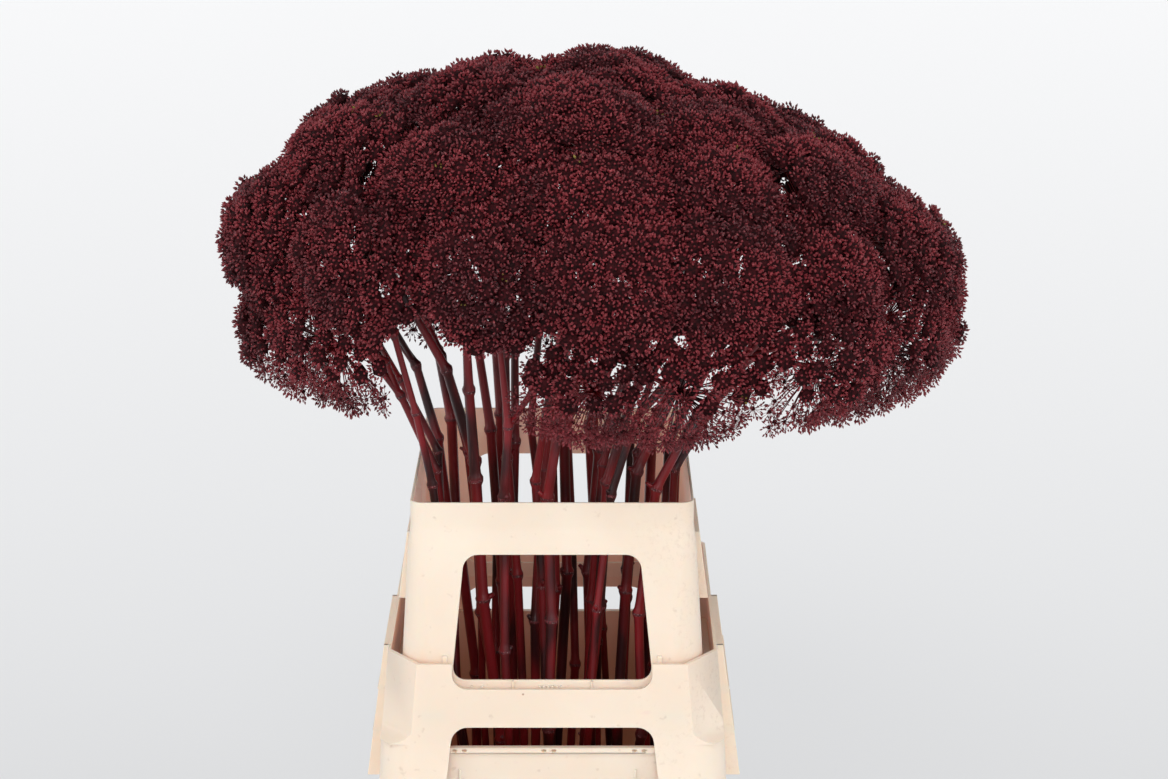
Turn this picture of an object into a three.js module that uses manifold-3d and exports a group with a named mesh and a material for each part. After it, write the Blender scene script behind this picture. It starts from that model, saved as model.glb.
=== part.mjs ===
// Painted bishop's flowers standing in a moulded bucket with two stacked collars.
// Millimetres, +Z up. The origin is the middle of the bucket's underside, the front faces -Y.
import * as THREE from 'three';
import { mergeVertices } from 'three/addons/utils/BufferGeometryUtils.js';
import { ConvexHull } from 'three/addons/math/ConvexHull.js';
import Module from 'manifold-3d';

const wasm = await Module();
wasm.setup();

// Space between two solids that touch on the real thing
const SEAT = 0.3;
// Wall thickness of the mouldings, and steps in each rounded corner
const WALL = 2.5;
const ARC_STEPS = 3;
// Cutters run this far beyond every wall
const BEYOND = 200;

// Half sizes are [across, front to back]
const BUCKET = {
  height: 242, foot: [117, 146], rim: [132, 160], corner: 24, floor: 3, lip: 3.5, lipDepth: 5,
};

const LOWER = {
  bottom: 170, shelf: 247, top: 315,
  skirt: [143, 176], waist: [139, 170], edge: [133, 167],
  corner: 26, facet: [25, 33],
  window: { top: 262, bottom: 186, topHalf: 80, bottomHalf: 89, corner: 12 },
  notch: { half: 80, bottom: 294, corner: 12 },
  lug: { out: 16, half: 9, thick: 6, z: 268.4, beside: 16 },
  flange: { half: 62, from: 176, to: 292, reach: [14, 6], thick: 2.5 },
};

// The upper collar stands a little crooked: its front edge is higher than its back edge
const UPPER = {
  bottom: 275, shoulder: 400, neck: 412, top: 434,
  foot: [122.5, 159.5], breast: [115, 153], rim: [113, 151],
  corner: [28, 13, 11],
  window: { top: 391.5, bottom: 288.5, topHalf: 70, bottomHalf: 80.5, corner: 11 },
  flange: { half: 50, from: 322, to: 380, reach: [9, 5], thick: 2.5 },
  lean: THREE.MathUtils.degToRad(1.8),
};

// The crown of heads: its middle, and its reach across, front to back, up and down from there.
// The left shoulder is fuller than the right one, and heads stand higher or lower by a lift.
const CROWN = {
  centre: [46, 0, 583], across: 312, deep: 238, up: 190, down: 140,
  skew: 0.12, upright: 0.3, lift: 11,
};

// Each ring of flowers: how many, how high up the crown, and how far out at the mouth and the foot
const RINGS = [
  { count: 1, climb: 88, turn: 100, mouth: 0.04, foot: 0.05 },
  { count: 6, climb: 66, turn: 20, mouth: 0.36, foot: 0.25 },
  { count: 11, climb: 43, turn: 5, mouth: 0.66, foot: 0.44 },
  { count: 16, climb: 18, turn: 0, mouth: 0.96, foot: 0.7 },
];
// Side heads hang below the outer ring, except where the stems show at the front left
const HEM = {
  climb: -17, sag: 5, wave: 8, waves: 4.5, lowest: 350, turn: 15, gap: [225, 255], fullness: 0.76,
};
const STEM = {
  sides: 5, base: 4.3, mouth: 3.6, tip: 2.3, swell: 1.22, mouthHeight: 440, mouthHalf: [104, 125],
  footHalf: [103, 128], wander: 4, room: 1.5, passes: 80, ease: [1.2, 0.2],
  handle: 0.4, splay: 0.35, taper: 0.4, joints: [0.3, 0.68], sideJoints: [0.35, 0.7],
};
const HEAD = {
  radius: 60, depth: 46, drop: 20, rays: 14, hubRadius: 5.2, under: 118, merge: 0.3,
  umbellet: 24, fullness: 0.93, shortest: 10, neck: 8, tip: 12, wave: 2.5,
  rayTip: 1.1, turn: 2, clear: 3, passes: 2,
};
const SEEDS = { layout: 11, heads: 500 };
// How far the draws go to either side: angles of heads in degrees, of feet and mouths in radians
const SPREAD = {
  azimuth: 3, climb: 2.5, size: 0.08, thick: 0.2, tip: 0.2,
  mouthTurn: 0.12, mouthShare: 0.05, footTurn: 0.3, footShare: 0.08,
};

const CREAM = { color: 0xf6e7d3, roughness: 0.45, metalness: 0 };
const BORDEAUX = { color: 0x5c1620, roughness: 0.5, metalness: 0 };

// Repeatable draws between 0 and 1
function seeded(seed) {
  let state = seed >>> 0;
  return () => {
    state = (state + 0x6d2b79f5) >>> 0;
    let t = Math.imul(state ^ (state >>> 15), state | 1);
    t = (t + Math.imul(t ^ (t >>> 7), t | 61)) ^ t;
    return ((t ^ (t >>> 14)) >>> 0) / 4294967296;
  };
}

const TINY = 1e-6;
const GOLDEN = Math.PI * (3 - Math.sqrt(5));
const radians = THREE.MathUtils.degToRad;
const mix = THREE.MathUtils.lerp;
const vector = (list) => new THREE.Vector3(...list);
// The part of an arm that is square to a way, one long
const squareTo = (way, arm) => arm.clone().addScaledVector(way, -arm.dot(way)).normalize();

// Closed solids for cutting and joining
function solidOf(geometry) {
  const plain = geometry.index ? geometry.clone() : geometry;
  plain.deleteAttribute('normal');
  plain.deleteAttribute('uv');
  const merged = mergeVertices(plain, 1e-4);
  return new wasm.Manifold(new wasm.Mesh({
    numProp: 3,
    vertProperties: Float32Array.from(merged.attributes.position.array),
    triVerts: Uint32Array.from(merged.index.array),
  }));
}

function geometryOf(solid) {
  const mesh = solid.getMesh();
  const geometry = new THREE.BufferGeometry();
  const points = Float32Array.from(mesh.vertProperties);
  geometry.setAttribute('position', new THREE.BufferAttribute(points, 3));
  geometry.setIndex(new THREE.BufferAttribute(Uint32Array.from(mesh.triVerts), 1));
  return geometry;
}

const joined = (solids) => solids.reduce((sum, solid) => sum.add(solid));

// Outlines of the mouldings, seen from above or from the front
function roundedOutline(halfX, halfY, corner) {
  const shape = new THREE.Shape();
  shape.moveTo(halfX, -halfY + corner);
  shape.absarc(halfX - corner, halfY - corner, corner, 0, Math.PI / 2);
  shape.absarc(-halfX + corner, halfY - corner, corner, Math.PI / 2, Math.PI);
  shape.absarc(-halfX + corner, -halfY + corner, corner, Math.PI, Math.PI * 1.5);
  shape.absarc(halfX - corner, -halfY + corner, corner, Math.PI * 1.5, Math.PI * 2);
  return shape;
}

function facetedOutline(halfX, halfY, [cutX, cutY]) {
  return new THREE.Shape([
    [halfX, -halfY + cutY], [halfX, halfY - cutY], [halfX - cutX, halfY], [-halfX + cutX, halfY],
    [-halfX, halfY - cutY], [-halfX, -halfY + cutY], [-halfX + cutX, -halfY], [halfX - cutX, -halfY],
  ].map(([x, y]) => new THREE.Vector2(x, y)));
}

// A column whose outline changes evenly from its foot to its head
function column(low, high, z0, z1) {
  const geometry = new THREE.ExtrudeGeometry(low, {
    depth: z1 - z0, bevelEnabled: false, curveSegments: ARC_STEPS,
  });
  const [from, to] = [low, high].map((outline) => outline.extractPoints(ARC_STEPS).shape);
  const place = geometry.attributes.position;
  for (let i = 0; i < place.count; i++) {
    if (place.getZ(i) > 0) {
      const here = new THREE.Vector2(place.getX(i), place.getY(i));
      const nearest = from.reduce((best, point, k) => (
        point.distanceTo(here) < from[best].distanceTo(here) ? k : best), 0);
      place.setXY(i, to[nearest].x, to[nearest].y);
    }
    place.setZ(i, z0 + place.getZ(i));
  }
  return solidOf(geometry);
}

const inset = ([x, y], by) => [x - by, y - by];
const along = (from, to, t) => [mix(from[0], to[0], t), mix(from[1], to[1], t)];

function roundedColumn(from, to, corners, z0, z1) {
  return column(roundedOutline(...from, corners[0]), roundedOutline(...to, corners[1]), z0, z1);
}

function block(x0, x1, y0, y1, z0, z1) {
  const geometry = new THREE.BoxGeometry(x1 - x0, y1 - y0, z1 - z0);
  geometry.translate((x0 + x1) / 2, (y0 + y1) / 2, (z0 + z1) / 2);
  return solidOf(geometry);
}

// A cutter through the front and the back wall: narrower at its top, with rounded corners
function windowCutter({ top, bottom, topHalf, bottomHalf, corner }, reach) {
  const shape = new THREE.Shape();
  shape.moveTo(-bottomHalf + corner, bottom);
  shape.lineTo(bottomHalf - corner, bottom);
  shape.quadraticCurveTo(bottomHalf, bottom, bottomHalf, bottom + corner);
  shape.lineTo(topHalf, top - corner);
  shape.quadraticCurveTo(topHalf, top, topHalf - corner, top);
  shape.lineTo(-topHalf + corner, top);
  shape.quadraticCurveTo(-topHalf, top, -topHalf, top - corner);
  shape.lineTo(-bottomHalf, bottom + corner);
  shape.quadraticCurveTo(-bottomHalf, bottom, -bottomHalf + corner, bottom);
  const geometry = new THREE.ExtrudeGeometry(shape, {
    depth: 2 * reach, bevelEnabled: false, curveSegments: ARC_STEPS,
  });
  geometry.rotateX(Math.PI / 2);
  geometry.translate(0, reach, 0);
  return solidOf(geometry);
}

// A thin frame that stands out of a side wall: two uprights, a head rail and a rib between them
function sideFlange({ half, from, to, reach, thick }, wallAt, side) {
  const plate = (y0, y1, z0, z1) => {
    const shape = new THREE.Shape([z0, z1, z1, z0].map((z, i) => {
      const t = (z - from) / (to - from);
      const inner = wallAt(z) - WALL / 2;
      const outer = wallAt(z) + mix(reach[0], reach[1], t);
      return new THREE.Vector2(i < 2 ? inner : outer, z);
    }));
    const geometry = new THREE.ExtrudeGeometry(shape, { depth: y1 - y0, bevelEnabled: false });
    geometry.rotateX(Math.PI / 2);
    geometry.translate(0, y1, 0);
    if (side < 0) geometry.rotateZ(Math.PI);
    return solidOf(geometry);
  };
  const middle = mix(from, to, 0.5);
  return joined([
    plate(-half, -half + thick, from, to),
    plate(half - thick, half, from, to),
    plate(-half + thick / 2, half - thick / 2, to - thick, to),
    plate(-half + thick / 2, half - thick / 2, middle, middle + thick),
  ]);
}

function makeBucket() {
  const { height, foot, rim, corner, floor, lip, lipDepth } = BUCKET;
  const lipFoot = [rim[0] + lip, rim[1] + lip];
  const even = (radius) => [radius, radius];
  const outer = roundedColumn(foot, rim, even(corner), 0, height);
  const edge = roundedColumn(lipFoot, lipFoot, even(corner + lip), height - lipDepth, height);
  const inner = [inset(foot, WALL), inset(rim, WALL)];
  const room = roundedColumn(...inner, even(corner - WALL), floor, height + 1);
  return outer.add(edge).subtract(room);
}

function makeLowerCollar() {
  const { bottom, shelf, top, skirt, waist, edge, corner, facet, window, notch, lug, flange } = LOWER;
  const under = BUCKET.height + SEAT;
  const corners = [corner, corner];
  const skirtOuter = roundedColumn(skirt, waist, corners, bottom, shelf);
  const skirtRoom = roundedColumn(inset(skirt, WALL), inset(waist, WALL), corners, bottom - 1, under);
  const faceted = (by, low, high) => column(
    facetedOutline(...inset(waist, by), facet), facetedOutline(...inset(edge, by), facet), low, high,
  );
  const upperOuter = faceted(0, shelf - 1, top);
  const upperRoom = faceted(WALL, under - 1, top + 1);
  const wallAt = (z) => (z < shelf
    ? along(skirt, waist, (z - bottom) / (shelf - bottom))[0]
    : along(waist, edge, (z - shelf) / (top - shelf))[0]);
  const notchCutter = windowCutter({
    top: top + BEYOND,
    bottom: notch.bottom,
    topHalf: notch.half,
    bottomHalf: notch.half,
    corner: notch.corner,
  }, BEYOND);
  const deep = along(waist, edge, (lug.z - shelf) / (top - shelf))[1] - WALL / 2;
  const lugs = [-1, 1].flatMap((sideX) => [-1, 1].map((sideY) => {
    const x = sideX * (window.topHalf + lug.beside);
    const [y0, y1] = sideY < 0 ? [-deep, -deep + lug.out] : [deep - lug.out, deep];
    return block(x - lug.half, x + lug.half, y0, y1, lug.z, lug.z + lug.thick);
  }));
  return joined([skirtOuter.add(upperOuter).subtract(skirtRoom).subtract(upperRoom), ...lugs])
    .subtract(windowCutter(window, BEYOND))
    .subtract(notchCutter)
    .add(sideFlange(flange, wallAt, 1))
    .add(sideFlange(flange, wallAt, -1));
}

function makeUpperCollar() {
  const { bottom, shoulder, neck, top, foot, breast, rim, corner, window, flange } = UPPER;
  const shell = (by, beyond) => {
    const [low, high] = [bottom - beyond, top + beyond];
    const [first, second, third] = corner.map((radius) => radius - by);
    return joined([
      roundedColumn(inset(foot, by), inset(breast, by), [first, second], low, shoulder),
      roundedColumn(inset(breast, by), inset(rim, by), [second, third], shoulder, neck),
      roundedColumn(inset(rim, by), inset(rim, by), [third, third], neck, high),
    ]);
  };
  const wallAt = (z) => along(foot, breast, (z - bottom) / (shoulder - bottom))[0];
  return shell(0, 0)
    .subtract(shell(WALL, 1))
    .subtract(windowCutter(window, BEYOND))
    .add(sideFlange(flange, wallAt, 1))
    .add(sideFlange(flange, wallAt, -1));
}

// Turned about the back bottom edge, which rests on the lower collar's lugs
function leanUpper(mesh) {
  const pivot = new THREE.Vector3(0, UPPER.foot[1], UPPER.bottom);
  const turned = pivot.clone().applyAxisAngle(new THREE.Vector3(1, 0, 0), -UPPER.lean);
  mesh.position.copy(pivot).sub(turned);
  mesh.rotation.x = -UPPER.lean;
}

// Where a stem stands in a rectangle with half sizes, at an angle and a share of the way out
function placeIn([halfX, halfY], angle, share) {
  const [c, s] = [Math.cos(angle), Math.sin(angle)];
  const reach = (Math.abs(c / halfX) ** 4 + Math.abs(s / halfY) ** 4) ** -0.25;
  return [reach * c * share, reach * s * share];
}

// The crown's outer surface in a direction, moved out by a lift
function crownPoint(way, lift) {
  const { centre, across, deep, up, down, skew } = CROWN;
  const arm = way.clone().multiply(new THREE.Vector3(across, deep, way.z > 0 ? up : down));
  const swell = 1 - 2 * skew * way.x * Math.max(way.z, 0);
  return arm.multiplyScalar(swell + lift / arm.length()).add(vector(centre));
}

// The direction in which a place is seen from the crown's centre
function crownWay(place) {
  const { centre, across, deep, up, down } = CROWN;
  const arm = place.clone().sub(vector(centre));
  return arm.divide(new THREE.Vector3(across, deep, arm.z > 0 ? up : down)).normalize();
}

// A head on the crown: the middle of its top, its hub below that, and the way it faces
function headAt(azimuth, climb, lift, size) {
  const [a, e] = [radians(azimuth), radians(climb)];
  const way = new THREE.Vector3(Math.cos(e) * Math.cos(a), Math.cos(e) * Math.sin(a), Math.sin(e));
  const { across, deep, up, down } = CROWN;
  const reach = new THREE.Vector3(across, deep, way.z > 0 ? up : down);
  const normal = way.clone().divide(reach).normalize();
  const axis = normal.add(new THREE.Vector3(0, 0, CROWN.upright)).normalize();
  const top = crownPoint(way, lift);
  const hub = top.clone().addScaledVector(axis, -HEAD.depth);
  return { top, axis, lift, hub, radius: HEAD.radius * size };
}

// Feet and mouth points are moved until no two stems touch between them
function spreadStems(stems) {
  for (let pass = 0; pass < STEM.passes; pass++) {
    for (let i = 0; i < stems.length; i++) {
      for (let j = i + 1; j < stems.length; j++) {
        const [a, b] = [stems[i], stems[j]];
        const low = [a.foot[0] - b.foot[0], a.foot[1] - b.foot[1]];
        const high = [a.mouth[0] - b.mouth[0], a.mouth[1] - b.mouth[1]];
        const run = [high[0] - low[0], high[1] - low[1]];
        const length = run[0] ** 2 + run[1] ** 2 + TINY;
        const t = Math.min(1, Math.max(0, -(low[0] * run[0] + low[1] * run[1]) / length));
        const gap = [low[0] + run[0] * t, low[1] + run[1] * t];
        const wide = Math.hypot(...gap) + TINY;
        const need = (a.thick + b.thick) * STEM.base * STEM.swell + STEM.room;
        if (wide >= need) continue;
        const push = (need - wide) / wide / 2;
        for (const k of [0, 1]) {
          const move = gap[k] * push;
          a.foot[k] += move * (STEM.ease[0] - t);
          b.foot[k] -= move * (STEM.ease[0] - t);
          a.mouth[k] += move * (STEM.ease[1] + t);
          b.mouth[k] -= move * (STEM.ease[1] + t);
        }
      }
    }
  }
}

// Points at shares of a smooth way that leaves and arrives in given directions
function wayBetween(start, leave, end, arrive, shares) {
  const handle = start.distanceTo(end) * STEM.handle;
  const curve = new THREE.CubicBezierCurve3(
    start,
    start.clone().addScaledVector(leave, handle),
    end.clone().addScaledVector(arrive, -handle),
    end,
  );
  return shares.map((share) => curve.getPoint(share));
}

function layOut() {
  const random = seeded(SEEDS.layout);
  const spread = (amount) => (random() * 2 - 1) * amount;
  const stems = RINGS.flatMap((ring, level) => Array.from({ length: ring.count }, (_, index) => {
    const azimuth = ring.turn + (360 * index) / ring.count + spread(SPREAD.azimuth);
    const angle = radians(azimuth);
    const sideTurn = azimuth + HEM.turn;
    const placed = (turn, climb) => headAt(
      turn, climb + spread(SPREAD.climb), spread(CROWN.lift), 1 + spread(SPREAD.size),
    );
    return {
      head: placed(azimuth, ring.climb),
      mouth: placeIn(
        STEM.mouthHalf, angle + spread(SPREAD.mouthTurn), ring.mouth + spread(SPREAD.mouthShare),
      ),
      foot: placeIn(
        STEM.footHalf, angle + spread(SPREAD.footTurn), ring.foot + spread(SPREAD.footShare),
      ),
      thick: 1 + spread(SPREAD.thick),
      bends: [[spread(STEM.wander), spread(STEM.wander)], [spread(STEM.wander), spread(STEM.wander)]],
      side: placed(
        sideTurn + spread(SPREAD.azimuth),
        HEM.climb - HEM.sag * Math.cos(angle)
          - HEM.wave * Math.cos(HEM.waves * radians(sideTurn - HEM.lowest)),
      ),
      forked: level === RINGS.length - 1 && (sideTurn < HEM.gap[0] || sideTurn > HEM.gap[1]),
    };
  }));
  spreadStems(stems);
  return stems.map(flowerOf);
}

// One flower: the points and radii of its stem and side branch, and its heads
function flowerOf({ head, mouth, foot, thick, bends, side, forked }, index) {
  const low = new THREE.Vector3(...foot, BUCKET.floor + SEAT);
  const neck = new THREE.Vector3(...mouth, STEM.mouthHeight);
  const rise = neck.clone().sub(low).normalize();
  const crest = head.hub.clone().addScaledVector(head.axis, 1);
  const leave = rise.clone().lerp(crest.clone().sub(neck).normalize(), STEM.splay).normalize();
  const [fork, shoulder] = wayBetween(neck, leave, crest, head.axis, STEM.joints);
  fork.add(new THREE.Vector3(...bends[0], 0));
  shoulder.add(new THREE.Vector3(...bends[1], 0));
  const flower = {
    name: `flower_${String(index + 1).padStart(2, '0')}`,
    rods: [[
      { at: low, radius: STEM.base * thick },
      { at: neck, radius: STEM.mouth * thick * STEM.swell },
      { at: fork, radius: mix(STEM.mouth, STEM.tip, STEM.taper) * thick * STEM.swell },
      { at: shoulder, radius: STEM.tip * STEM.swell },
      { at: crest, radius: STEM.tip },
    ]],
    heads: [head],
  };
  if (forked) {
    const end = side.hub.clone().addScaledVector(side.axis, 1);
    const [first, second] = wayBetween(fork, leave, end, side.axis, STEM.sideJoints);
    flower.rods.push([
      { at: fork.clone(), radius: STEM.tip },
      { at: first, radius: STEM.tip * STEM.swell },
      { at: second, radius: STEM.tip },
      { at: end, radius: STEM.tip },
    ]);
    flower.heads.push(side);
  }
  return flower;
}

function meshSolid(points, faces) {
  return new wasm.Manifold(new wasm.Mesh({
    numProp: 3,
    vertProperties: Float32Array.from(points.flatMap((point) => point.toArray())),
    triVerts: Uint32Array.from(faces),
  }));
}

// A stem or branch as rings of points, flat at a cut foot
function rodSolid(rod) {
  const n = STEM.sides;
  const points = [];
  let across = new THREE.Vector3(1, 0, 0);
  rod.forEach(({ at, radius }, index) => {
    const ahead = rod[Math.min(index + 1, rod.length - 1)].at;
    const behind = rod[Math.max(index - 1, 0)].at;
    const way = ahead.clone().sub(behind).normalize();
    if (at.z < BUCKET.floor + 1) way.set(0, 0, 1);
    across = squareTo(way, across);
    points.push(...ringOf(at, across, way, radius, n));
  });
  const faces = [];
  const last = points.length - n;
  for (let from = 0; from < last; from += n) {
    for (let side = 0; side < n; side++) {
      const [a, b] = [from + side, from + ((side + 1) % n)];
      faces.push(a, b, b + n, a, b + n, a + n);
    }
  }
  for (let side = 1; side + 1 < n; side++) {
    faces.push(0, side + 1, side, last, last + side, last + side + 1);
  }
  return meshSolid(points, faces);
}

// Points round a way, the first of them towards `across`
function ringOf(at, across, way, radius, count) {
  const third = way.clone().cross(across);
  return Array.from({ length: count }, (_, k) => {
    const angle = (k / count) * Math.PI * 2;
    return at.clone().addScaledVector(across, radius * Math.cos(angle))
      .addScaledVector(third, radius * Math.sin(angle));
  });
}

// The nearest distance between two straight stretches
function stretchGap(p1, q1, p2, q2) {
  const d1 = q1.clone().sub(p1);
  const d2 = q2.clone().sub(p2);
  const r = p1.clone().sub(p2);
  const [a, e, f, c, b] = [d1.lengthSq(), d2.lengthSq(), d2.dot(r), d1.dot(r), d1.dot(d2)];
  const clamp = (value) => Math.min(1, Math.max(0, value));
  const denominator = a * e - b * b;
  let s = denominator > TINY ? clamp((b * f - c * e) / denominator) : 0;
  let t = e > TINY ? (b * s + f) / e : 0;
  if (t < 0 || t > 1) {
    t = clamp(t);
    s = a > TINY ? clamp((b * t - c) / a) : 0;
  }
  return p1.clone().addScaledVector(d1, s).distanceTo(p2.clone().addScaledVector(d2, t));
}

// The umbellets that a head may carry, spread evenly over its round
function openHead(head, owner, random) {
  const upright = new THREE.Quaternion().setFromUnitVectors(new THREE.Vector3(0, 0, 1), head.axis);
  const start = random() * Math.PI * 2;
  return Array.from({ length: HEAD.rays }, (_, index) => {
    const out = head.radius * Math.sqrt((index + 0.5) / HEAD.rays);
    const angle = start + index * GOLDEN;
    const place = new THREE.Vector3(out * Math.cos(angle), out * Math.sin(angle), 0)
      .applyQuaternion(upright).add(head.top);
    return { head, owner, out, way: crownWay(place), draw: random() };
  });
}

// Heads are domed, so the outer umbellets sit lower
const liftOf = ({ head, out }) => head.lift - HEAD.drop * (out / head.radius) ** 2;
const middleOf = (cell) => crownPoint(cell.way, liftOf(cell));

// For each direction, the corners of the area of the sphere that is nearer to it than to any other
function nearestAreas(ways) {
  const areas = new Map(ways.map((way) => [way, []]));
  for (const { edge, normal } of new ConvexHull().setFromPoints(ways).faces) {
    for (const point of [edge.tail().point, edge.head().point, edge.next.head().point]) {
      areas.get(point).push(normal);
    }
  }
  return ways.map((way) => {
    const across = new THREE.Vector3(way.y, -way.x, 0);
    const angleOf = new Map(areas.get(way).map((corner) => [corner, bearing(corner, way, across)]));
    return areas.get(way).sort((a, b) => angleOf.get(a) - angleOf.get(b));
  });
}

// The angle at which an arm points, seen against a way and counted from `across`
function bearing(arm, way, across) {
  const zero = squareTo(way, across);
  return Math.atan2(arm.dot(way.clone().cross(zero)), arm.dot(zero));
}

// The rim of each umbellet: its area of the crown, drawn in from its neighbours
function rimsOf(cells) {
  const areas = nearestAreas([...cells.map((cell) => cell.way), new THREE.Vector3(0, 0, -1)]);
  cells.forEach((cell, index) => {
    const middle = middleOf(cell);
    const lift = liftOf(cell);
    cell.rim = areas[index].map((corner) => {
      const point = crownPoint(corner, lift);
      const fullness = cell.way.z > 0 ? HEAD.fullness : HEM.fullness;
      const share = Math.min(fullness, HEAD.umbellet / point.distanceTo(middle));
      return crownPoint(cell.way.clone().lerp(corner, share).normalize(), lift);
    }).filter((point, k, rim) => point.distanceTo(rim[(k + 1) % rim.length]) > HEAD.shortest);
  });
}

// Each umbellet moves to the middle of its area, so that they come out even
function relax(cells) {
  for (let pass = 0; pass < HEAD.passes; pass++) {
    rimsOf(cells);
    for (const cell of cells) {
      const sum = cell.rim.reduce((total, point) => total.add(point), new THREE.Vector3());
      cell.way = crownWay(sum.divideScalar(cell.rim.length));
    }
  }
  rimsOf(cells);
}

// The foot of an umbellet, where its ray ends
function neckOf(cell) {
  const middle = middleOf(cell);
  const outward = middle.clone().sub(vector(CROWN.centre)).normalize();
  return { middle, outward, neckAt: middle.clone().addScaledVector(outward, -HEAD.neck) };
}

// The hub: a rounded solid with one face for each ray and a few more below, towards the stem
function hubOf(head, cells) {
  const upright = new THREE.Quaternion().setFromUnitVectors(new THREE.Vector3(0, 0, 1), head.axis);
  const rays = cells.map((cell) => neckOf(cell).neckAt.sub(head.hub).normalize());
  const under = [0, 1, 2].map((k) => new THREE.Vector3(0, 0, 1)
    .applyAxisAngle(new THREE.Vector3(0, 1, 0), radians(HEAD.under))
    .applyAxisAngle(new THREE.Vector3(0, 0, 1), (k / 3) * Math.PI * 2)
    .applyQuaternion(upright));
  const sides = nearestAreas([...rays, ...under]);
  mergeNear(sides);
  return { corners: [...new Set(sides.flat())], sides };
}

// Corners of a hub that lie close together become one, as long as every side keeps three
function mergeNear(sides) {
  const corners = [...new Set(sides.flat())];
  const pairs = corners
    .flatMap((a, i) => corners.slice(i + 1).map((b) => ({ a, b, gap: a.angleTo(b) })))
    .filter(({ gap }) => gap < HEAD.merge)
    .sort((p, q) => p.gap - q.gap);
  for (const { a, b } of pairs) {
    const both = sides.filter((side) => side.includes(a) && side.includes(b));
    const lives = sides.some((side) => side.includes(a)) && sides.some((side) => side.includes(b));
    if (!lives || both.length !== 2 || both.some((side) => side.length < 4)) continue;
    a.add(b).normalize();
    both.forEach((side) => side.splice(side.indexOf(b), 1));
    sides.filter((side) => side.includes(b)).forEach((side) => side.splice(side.indexOf(b), 1, a));
  }
}

// A compound umbel: the hub's faces are drawn out into rays with an umbellet at the end of each
function umbelSolid(head, cells) {
  const { corners, sides } = hubOf(head, cells);
  const points = corners.map((way) => way.clone().multiplyScalar(HEAD.hubRadius).add(head.hub));
  const faces = [];
  sides.forEach((side, index) => {
    const base = side.map((corner) => corners.indexOf(corner));
    if (index < cells.length) drawOut(points, faces, base, cells[index]);
    else base.slice(2).forEach((corner, k) => faces.push(base[0], base[k + 1], corner));
  });
  return meshSolid(points, faces);
}

// A band of triangles between two rings of corners that stand in the order of their angles
function lace(faces, low, high) {
  const full = Math.PI * 2;
  const angle = (ring, k) => ring[k % ring.length].angle + full * Math.floor(k / ring.length);
  let [i, j] = [0, 0];
  while (i < low.length || j < high.length) {
    const [from, to] = [low[i % low.length].id, high[j % high.length].id];
    if (j === high.length || (i < low.length && angle(low, i + 1) <= angle(high, j + 1))) {
      faces.push(from, low[(i + 1) % low.length].id, to);
      i++;
    } else {
      faces.push(from, high[(j + 1) % high.length].id, to);
      j++;
    }
  }
}

// A ring of corners with their angles, begun at the corner nearest to `across`
function ringAt(points, ids, centre, way, across) {
  const angles = ids.map((id) => bearing(points[id].clone().sub(centre), way, across));
  const off = angles.map(Math.abs);
  const first = off.indexOf(Math.min(...off));
  const full = Math.PI * 2;
  let angle = angles[first];
  return ids.map((_, k) => {
    const at = (first + k) % ids.length;
    angle += (((angles[at] - angle) % full) + full) % full;
    return { id: ids[at], angle };
  });
}

// Side walls of a ray, then an umbellet that opens to its rim and closes in a tip
function drawOut(points, faces, base, cell) {
  const { middle, outward, neckAt } = neckOf(cell);
  const ray = neckAt.clone().sub(cell.head.hub).normalize();
  const way = ray.clone().addScaledVector(outward, HEAD.turn).normalize();
  const across = squareTo(ray, points[base[0]].clone().sub(cell.head.hub));
  const put = (point) => points.push(point) - 1;
  const neck = ringOf(neckAt, squareTo(way, across), way, HEAD.rayTip, 3).map(put);
  const rim = cell.rim.map((point, k) => (
    put(point.clone().addScaledVector(outward, k % 2 ? HEAD.wave : -HEAD.wave))));
  const waist = ringAt(points, neck, neckAt, way, across);
  const edge = ringAt(points, rim, neckAt, way, across);
  lace(faces, ringAt(points, base, cell.head.hub, ray, across), waist);
  lace(faces, waist, edge);
  const height = HEAD.tip * (1 + SPREAD.tip * (2 * cell.draw - 1));
  const tip = put(middle.clone().addScaledVector(outward, height));
  edge.forEach(({ id }, k) => faces.push(id, edge[(k + 1) % edge.length].id, tip));
}

// The whole model
const model = new THREE.Group();

function addMesh(name, solid, look) {
  const mesh = new THREE.Mesh(geometryOf(solid), new THREE.MeshStandardMaterial(look));
  mesh.name = name;
  model.add(mesh);
  return mesh;
}

addMesh('bucket', makeBucket(), CREAM);
addMesh('collar_lower', makeLowerCollar(), CREAM);
leanUpper(addMesh('collar_upper', makeUpperCollar(), CREAM));

const flowers = layOut();
const heads = flowers.flatMap((flower) => flower.heads);
const stretches = flowers.flatMap(({ name, rods }) => rods.flatMap((rod) => (
  rod.slice(1).map((end, k) => ({
    from: rod[k].at, to: end.at, radius: Math.max(end.radius, rod[k].radius), owner: name,
  })))));

// An umbellet has room where no other head is nearer and no other stem is in the way of its ray
function hasRoom(cell) {
  const middle = middleOf(cell);
  const nearest = heads.reduce((best, head) => (
    head.top.distanceTo(middle) < best.top.distanceTo(middle) ? head : best));
  const start = cell.head.hub.clone().lerp(middle, HEAD.hubRadius / HEAD.depth);
  return nearest === cell.head && !stretches.some(({ from, to, radius, owner }) => (
    owner !== cell.owner && stretchGap(start, middle, from, to) < radius + HEAD.clear));
}

const cells = flowers.flatMap(({ name, heads: own }, index) => {
  const random = seeded(SEEDS.heads + index);
  return own.flatMap((head) => openHead(head, name, random));
}).filter(hasRoom);
relax(cells);

for (const { name, rods, heads: own } of flowers) {
  const umbels = own.map((head) => umbelSolid(head, cells.filter((cell) => cell.head === head)));
  addMesh(name, joined([...rods.map(rodSolid), ...umbels]), BORDEAUX);
}

export default model;
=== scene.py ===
"""Painted bishop's flowers standing in a moulded bucket with two stacked collars.

The sizes in the classes are in millimetres, and each finished mesh is brought to metres.
"""

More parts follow.
